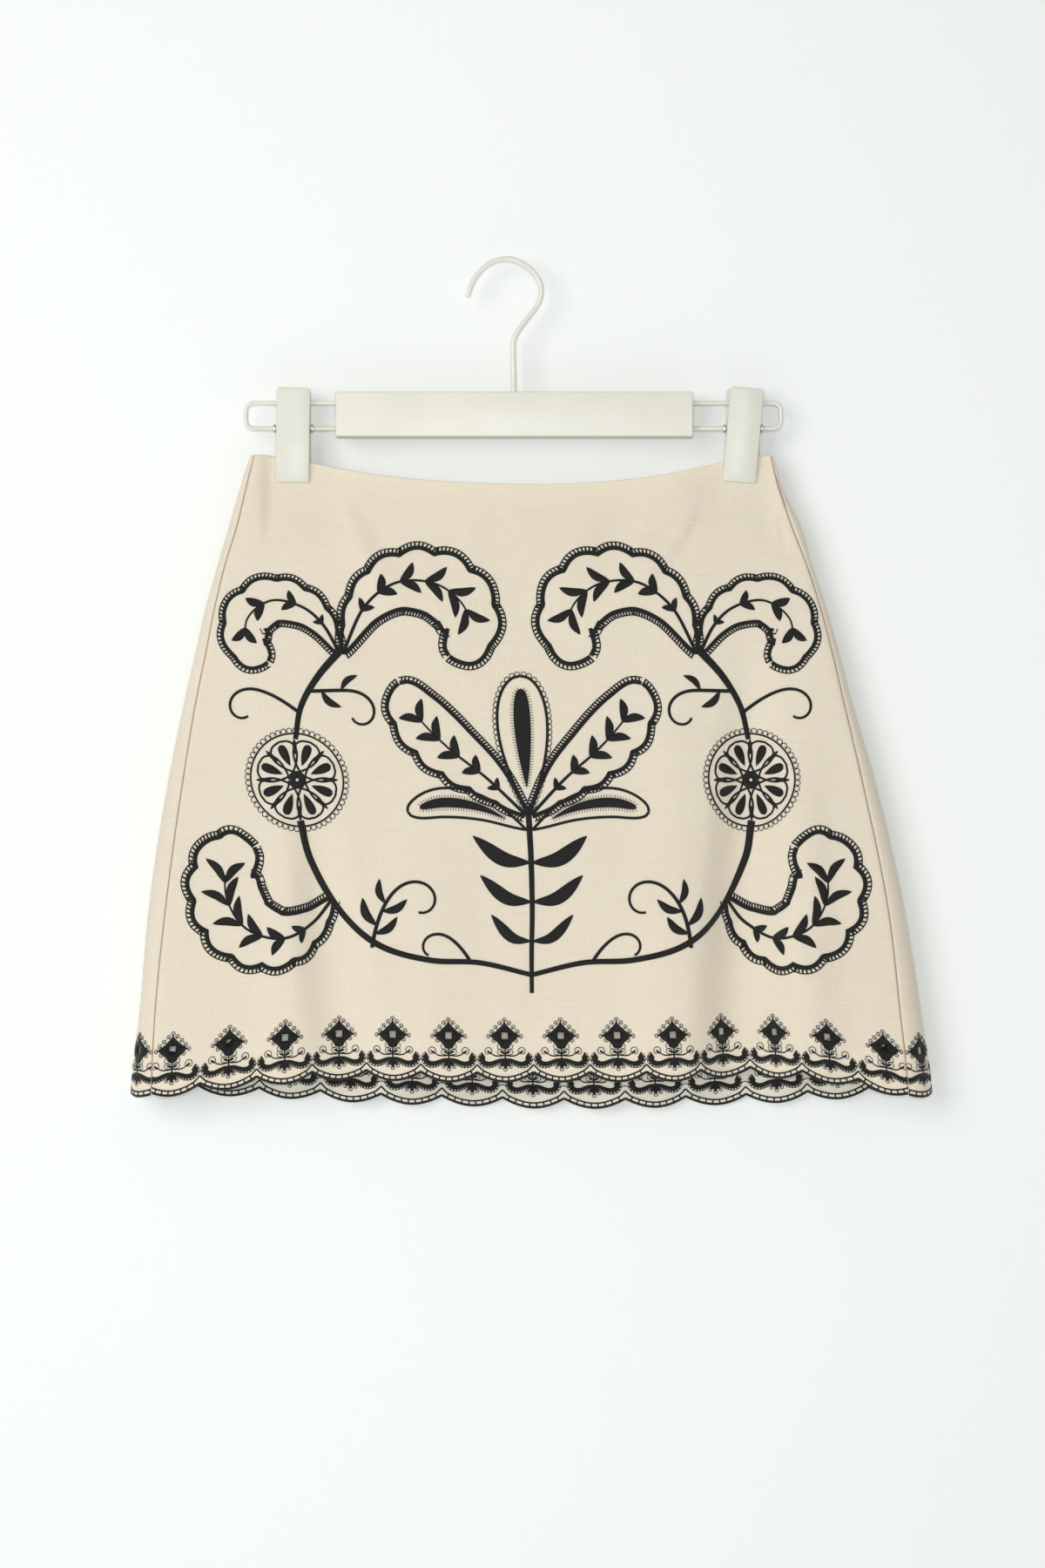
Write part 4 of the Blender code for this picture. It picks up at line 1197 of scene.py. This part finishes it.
def sew_border(name, panel, st, faces_wanted, mat):
    """Repeat a motif along the hem, cut off at the seams as the panels were."""
    points, lift, uvs, quads = st.gathered()
    placed, all_uvs, faces, count = [], [], [], 0
    for inner in faces_wanted:
        order = quads[:, ::-1] if inner != (panel["side"] == "back") else quads
        for k in range(-1, int(panel["repeats"]) + 2):
            s, z = border_shares(panel, k, points)
            outside = (s < 0.0005) | (s > 0.9995)
            if outside.all():
                continue
            s = np.clip(s, 0.0005, 0.9995)
            kept = order[~outside[order].all(axis=1)]
            placed.append(lay_on_cloth(panel, s, z, lift, inner))
            all_uvs.append(uvs + (k * 40.0, 0.0))
            faces.append(kept + count)
            count += len(points)
    return stitched_object(name, placed, faces, all_uvs, mat)


def stitched_object(name, placed, faces, uvs, mat):
    """Sewn pieces as one mesh, without the points that no face uses."""
    points, faces, uvs = np.concatenate(placed), np.concatenate(faces), np.concatenate(uvs)
    used, index = np.unique(faces, return_inverse=True)
    faces = index.reshape(faces.shape)
    return sewn_object(name, points[used], faces.tolist(), uvs[used], "stitch", mat, 80.0)


def sew_middle(name, panel, st, mat):
    """Lay a design on the panel, x from its centre line and y as height."""
    points, lift, uvs, quads = st.gathered()
    z = points[:, 1]
    s = 0.5 + points[:, 0] / TUBE.width(panel["side"], z)
    order = quads[:, ::-1] if panel["side"] == "back" else quads
    return stitched_object(name, [lay_on_cloth(panel, s, z, lift, False)], [order], [uvs], mat)


# Hanger, at the places of its CAD nodes
BAR_EDGE = 0.7
BAR_GROWN = (0.5, 0.0, 1.1)
POCKET_OUTER = 2.7
POCKET_DEPTH = 2.4
WIRE_RADIUS = 1.425
UPPER_WIRE_Z = -94.0
LOWER_WIRE_Z = -111.0

# Clip plate seen from its side: height, inner face and outer face
CLIP_COLUMNS = ("z", "inner", "outer")
CLIP_SIDE = (
    (-147.0, 1.75, 4.2),
    (-132.0, 1.75, 5.6),
    (-113.8, 3.15, 6.6),
    (-108.2, 3.15, 6.8),
    (-84.4, 4.9, 7.6),
)
CLIP_WIDTH = 22.0
CLIP_CORNER = 2.0
CLIP_EDGE = 0.45
CLIP_SEATS = (
    {"name": "clip_left", "x": -145.0, "front_lean": 1.0, "back_lean": 0.0},
    {"name": "clip_right", "x": 154.6, "front_lean": 5.0, "back_lean": 0.0},
)
COIL_RADIUS = 2.35
COIL_WIRE = 0.42
COIL_TURNS = 9
COLLAR_PLACE = 12.5
COLLAR_THICK = 1.5
COLLAR_OUTER = 2.8


def start_edit(obj, mode):
    """Only this object selected, in edit mode, with nothing in it selected."""
    bpy.ops.object.select_all(action="DESELECT")
    obj.select_set(True)
    bpy.context.view_layer.objects.active = obj
    bpy.ops.object.mode_set(mode="EDIT")
    bpy.ops.mesh.select_mode(type=mode)
    bpy.ops.mesh.select_all(action="DESELECT")
    return bmesh.from_edit_mesh(obj.data)


def end_edit(obj):
    """Back to object mode with the change kept."""
    bmesh.update_edit_mesh(obj.data)
    bpy.ops.object.mode_set(mode="OBJECT")


def added(name, size=(1.0, 1.0, 1.0)):
    """The primitive that was just added, sized and named, with its place and turn in its mesh."""
    obj = bpy.context.active_object
    obj.name = obj.data.name = name
    obj.scale = size
    bpy.ops.object.select_all(action="DESELECT")
    obj.select_set(True)
    bpy.ops.object.transform_apply(location=True, rotation=True, scale=True)
    return obj


def apply_modifier(obj, name, kind, **settings):
    """Add one modifier with its settings and apply it."""
    bpy.ops.object.select_all(action="DESELECT")
    obj.select_set(True)
    bpy.context.view_layer.objects.active = obj
    modifier = obj.modifiers.new(name, kind)
    for key, value in settings.items():
        setattr(modifier, key, value)
    bpy.ops.object.modifier_apply(modifier=name)


def cut_out(obj, cutter):
    """Cut one solid out of another and remove it."""
    apply_modifier(obj, "cut", "BOOLEAN", operation="DIFFERENCE", object=cutter, solver="EXACT")
    bpy.data.objects.remove(cutter, do_unlink=True)


def finish_surface(obj, mat, angle=35.0):
    """Material, smooth shading with sharp edges kept, and faces outward."""
    obj.data.materials.clear()
    obj.data.materials.append(mat)
    start_edit(obj, "FACE")
    bpy.ops.mesh.select_all(action="SELECT")
    bpy.ops.mesh.normals_make_consistent(inside=False)
    end_edit(obj)
    bpy.ops.object.shade_smooth_by_angle(angle=math.radians(angle))


def add_rod(name, x, z, radius, long, sides=32):
    """A round rod along X, centred at x."""
    bpy.ops.mesh.primitive_cylinder_add(
        vertices=sides, radius=radius * MM, depth=long * MM, location=(x * MM, 0, z * MM),
        rotation=(0, math.radians(90), 0),
    )
    return added(name)


def add_ring(name, x, z, outer, inner, long):
    """A ring along X: a rod with a hole cut through it."""
    ring = add_rod(name, x, z, outer, long)
    cut_out(ring, add_rod(name + "_core", x, z, inner, long * 2))
    return ring


def model_bar(mat):
    """Moulded bar: a box with crisp rounded edges and a pocket round each end wire."""
    low, high = [Vector(corner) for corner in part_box("hanger_bar")]
    low -= Vector(BAR_GROWN) * MM
    bpy.ops.mesh.primitive_cube_add(size=1.0, location=(low + high) / 2)
    bar = added("bar", high - low)
    mesh = start_edit(bar, "EDGE")
    for edge in mesh.edges:
        edge.select_set(True)
    bpy.ops.mesh.bevel(offset=BAR_EDGE * MM, segments=4, profile=0.5)
    end_edit(bar)
    for end_x in (low.x / MM, high.x / MM):
        for z in (UPPER_WIRE_Z, LOWER_WIRE_Z):
            cut_out(bar, add_ring("pocket", end_x, z, POCKET_OUTER, WIRE_RADIUS, POCKET_DEPTH * 2))
    finish_surface(bar, mat)
    return ride_with_skirt(bar, "bar", "hanger_bar")


def model_clip_plate(mat):
    """A clip's back plate at x 0: drawn up through its side sections, corners and edges rounded."""
    rows = [dict(zip(CLIP_COLUMNS, row)) for row in CLIP_SIDE]
    foot = rows[0]
    thick, middle = foot["outer"] - foot["inner"], (foot["outer"] + foot["inner"]) / 2
    bpy.ops.mesh.primitive_plane_add(size=1.0, location=(0, middle * MM, foot["z"] * MM))
    plate = added("clip_plate", (CLIP_WIDTH * MM, thick * MM, 1.0))
    start_edit(plate, "FACE")
    bpy.ops.mesh.select_all(action="SELECT")
    for row in rows[1:]:
        next_thick, next_middle = row["outer"] - row["inner"], (row["outer"] + row["inner"]) / 2
        rise = (0, (next_middle - middle) * MM, (row["z"] - foot["z"]) * MM)
        bpy.ops.mesh.extrude_region_move(TRANSFORM_OT_translate={"value": rise})
        bpy.ops.transform.resize(value=(1, next_thick / thick, 1))
        thick, middle, foot = next_thick, next_middle, row
    end_edit(plate)
    mesh = start_edit(plate, "EDGE")
    ends = (CLIP_SIDE[0][0] * MM, CLIP_SIDE[-1][0] * MM)
    for edge in mesh.edges:
        one, two = edge.verts[0].co, edge.verts[1].co
        level = abs(one.z - two.z) < 1e-6 and abs(one.x - two.x) < 1e-6
        edge.select_set(level and min(abs(one.z - end) for end in ends) < 1e-6)
    bpy.ops.mesh.bevel(offset=CLIP_CORNER * MM, segments=5, profile=0.5)
    end_edit(plate)
    apply_modifier(plate, "edge", "BEVEL", width=CLIP_EDGE * MM, segments=2, limit_method="ANGLE",
                   angle_limit=math.radians(50))
    finish_surface(plate, mat, 40.0)
    return plate


def model_spring(mat):
    """A clip's coil spring with the collar at each end, at x 0."""
    bpy.ops.mesh.primitive_circle_add(
        vertices=8, radius=COIL_WIRE * MM, location=(-COLLAR_PLACE * MM, 0, (LOWER_WIRE_Z + COIL_RADIUS) * MM),
        rotation=(math.radians(90), 0, 0),
    )
    coil = added("spring")
    coil.data.transform(Matrix.Translation((0, 0, -LOWER_WIRE_Z * MM)))
    apply_modifier(coil, "coil", "SCREW", axis="X", screw_offset=2 * COLLAR_PLACE * MM / COIL_TURNS,
                   iterations=COIL_TURNS, steps=20, render_steps=20)
    coil.data.transform(Matrix.Translation((0, 0, LOWER_WIRE_Z * MM)))
    start_edit(coil, "VERT")
    bpy.ops.mesh.select_all(action="SELECT")
    bpy.ops.mesh.fill_holes(sides=0)
    end_edit(coil)
    collars = []
    for end in (-1, 1):
        collar = add_ring("collar", end * COLLAR_PLACE, LOWER_WIRE_Z, COLLAR_OUTER, WIRE_RADIUS + 0.3, COLLAR_THICK)
        apply_modifier(collar, "edge", "BEVEL", width=0.25 * MM, segments=2, limit_method="ANGLE")
        collars.append(collar)
    bpy.ops.object.select_all(action="DESELECT")
    for part in collars + [coil]:
        part.select_set(True)
    bpy.context.view_layer.objects.active = coil
    bpy.ops.object.join()
    finish_surface(coil, mat)
    return coil


def copy_at(source, name, turn):
    """A copy with its own mesh, put in place."""
    copy = bpy.data.objects.new(name, source.data.copy())
    copy.data.name = name
    copy.data.transform(turn)
    bpy.context.scene.collection.objects.link(copy)
    return copy


def build_hanger(plastic, clip_mat, steel):
    """The bar, and each clip's two plates and spring, copied from one of each."""
    model_bar(plastic)
    plate, spring = model_clip_plate(clip_mat), model_spring(steel)
    pivot = Matrix.Translation((0, 0, LOWER_WIRE_Z * MM))
    for seat in CLIP_SEATS:
        place = Matrix.Translation((seat["x"] * MM, 0, 0))
        for side, face in (("front", 180), ("back", 0)):
            lean = Matrix.Rotation(math.radians(seat[side + "_lean"]), 4, "Y")
            turn = place @ pivot @ lean @ pivot.inverted() @ Matrix.Rotation(math.radians(face), 4, "Z")
            node = seat["name"] + "_" + side
            ride_with_skirt(copy_at(plate, node + "_plate", turn), "clip", node)
        node = seat["name"] + "_spring"
        ride_with_skirt(copy_at(spring, seat["name"] + "_coil", place), "spring", node)
    for source in (plate, spring):
        bpy.data.objects.remove(source, do_unlink=True)


def build_camera():
    """The photograph's view: a long lens level with the skirt's middle."""
    data = bpy.data.cameras.new("camera")
    data.lens = 85.0
    data.sensor_width = 36.0
    data.clip_end = 50.0
    camera = bpy.data.objects.new("camera", data)
    camera.location = (7.54 * MM, -2465.0 * MM, -347.7 * MM)
    camera.rotation_euler = (math.radians(90), 0, 0)
    bpy.context.scene.collection.objects.link(camera)
    bpy.context.scene.camera = camera


def area_light(name, place, target, size, power, colour):
    """A soft rectangular light aimed at a place."""
    data = bpy.data.lights.new(name, "AREA")
    data.shape = "RECTANGLE"
    data.size, data.size_y = size
    data.energy = power
    data.color = colour
    light = bpy.data.objects.new(name, data)
    light.location = place
    light.rotation_euler = (Vector(target) - Vector(place)).to_track_quat("-Z", "Y").to_euler()
    bpy.context.scene.collection.objects.link(light)


def build_lights():
    """White room light, a tall soft key from the left and a fill beside the lens."""
    world = bpy.data.worlds.new("room")
    world.use_nodes = True
    back = world.node_tree.nodes["Background"]
    back.inputs["Color"].default_value = (0.97, 0.99, 1.0, 1.0)
    back.inputs["Strength"].default_value = 0.30
    bpy.context.scene.world = world
    area_light("key", (-1.4, -2.2, 0.25), (0.0, 0.0, -0.3), (1.5, 1.5), 27.0, (1.0, 0.985, 0.96))
    area_light("lens_fill", (0.0, -2.8, -0.3), (0.0, 0.0, -0.35), (0.3, 0.3), 31.0, (0.98, 0.99, 1.0))


WALL_Y = 0.0190


def one_sided_wall_paint():
    """Matt white wall that is only there from the front."""
    paint = Paint("wall_paint", Roughness=0.95)
    place = paint.node("TexCoord", {}).outputs["Object"]
    tone = paint.noise(paint.stretch(place, 2.0, 2.0, 2.0), 2.0)
    paint.feed("Base Color", paint.mix(tone, (0.865, 0.885, 0.865), (0.885, 0.905, 0.885)))
    behind = paint.node("NewGeometry", {}).outputs["Backfacing"]
    clear = paint.node("BsdfTransparent", {})
    chosen = paint.node("MixShader", {}, behind, paint.shader.outputs[0], clear.outputs[0])
    output = paint.tree.nodes["Material Output"]
    paint.tree.links.new(chosen.outputs[0], output.inputs["Surface"])
    return paint.mat


def flat_stage(name, corners, mat):
    """One large flat face of the set."""
    mesh = bpy.data.meshes.new(name)
    mesh.from_pydata(corners, [], [(0, 1, 2, 3)])
    mesh.materials.append(mat)
    obj = bpy.data.objects.new(name, mesh)
    bpy.context.scene.collection.objects.link(obj)


def build_stage():
    """Pale wall just behind the skirt and a pale floor far below it."""
    wall = ((-4, WALL_Y, -1.6), (4, WALL_Y, -1.6), (4, WALL_Y, 2.6), (-4, WALL_Y, 2.6))
    flat_stage("wall", wall, one_sided_wall_paint())
    floor = ((-4, -5, -1.6), (4, -5, -1.6), (4, 3, -1.6), (-4, 3, -1.6))
    paint = Paint("floor_paint", Roughness=0.8)
    place = paint.node("TexCoord", {}).outputs["Object"]
    tone = paint.noise(paint.stretch(place, 3.0, 3.0, 3.0), 2.0)
    paint.feed("Base Color", paint.mix(tone, (0.86, 0.87, 0.86), (0.90, 0.91, 0.90)))
    flat_stage("floor", floor, paint.mat)


def main():
    scene = bpy.context.scene
    scene.view_settings.view_transform = "Standard"
    build_camera()
    build_lights()
    build_stage()

    cloth = cloth_paint("cloth_weave")
    reverse = cloth_paint("cloth_reverse", REVERSE_TINT)
    thread = thread_paint("black_thread")
    front = build_shell(FRONT, "front_cloth", cloth, reverse)
    back = build_shell(BACK, "back_cloth", cloth, reverse)
    ride_with_skirt(front, "cloth", "front_panel")
    ride_with_skirt(back, "cloth", "back_panel")
    # Strips of painted seam shade along both side seams
    joint = seam_paint("seam_shade")
    for name, s in (("left_seam", 0.0), ("right_seam", 1.0)):
        ride_with_skirt(build_seam(name, s, joint), "cloth")

    motif = border_motif()
    for panel in (FRONT, BACK):
        side, wide = panel["side"], pitch(panel)
        rims = sew_border(side + "_hem_rims", panel, border_rims(wide), (False,), thread)
        ride_with_skirt(rims, "cloth")
        for inner, where in ((False, ""), (True, "_inside")):
            ladder = sew_border(side + "_ladder" + where, panel, border_ladder(wide), (inner,), thread)
            border = sew_border(side + "_border" + where, panel, motif, (inner,), thread)
            ride_with_skirt(ladder, "cloth")
            ride_with_skirt(border, "cloth")
    ride_with_skirt(sew_middle("front_embroidery", FRONT, middle_design(), thread), "cloth")

    wire = coated_wire_paint("cream_wire")
    plastic = moulded_paint("cream_plastic", (0.735, 0.718, 0.63), (0.70, 0.685, 0.60), 0.45, 2500.0)
    clip = moulded_paint("clip_plastic", (0.685, 0.685, 0.595), (0.65, 0.65, 0.565), 0.42, 2500.0)
    steel = steel_paint("spring_steel")
    tape = tape_paint("zip_tape_weave")
    build_hanger(plastic, clip, steel)
    for name in ("hanger_hook", "hanger_wire_left", "hanger_wire_right"):
        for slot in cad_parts[name].material_slots:
            slot.material = wire
    ride_with_skirt(zip_tape(tape), "zip_tape", "side_zip")


main()
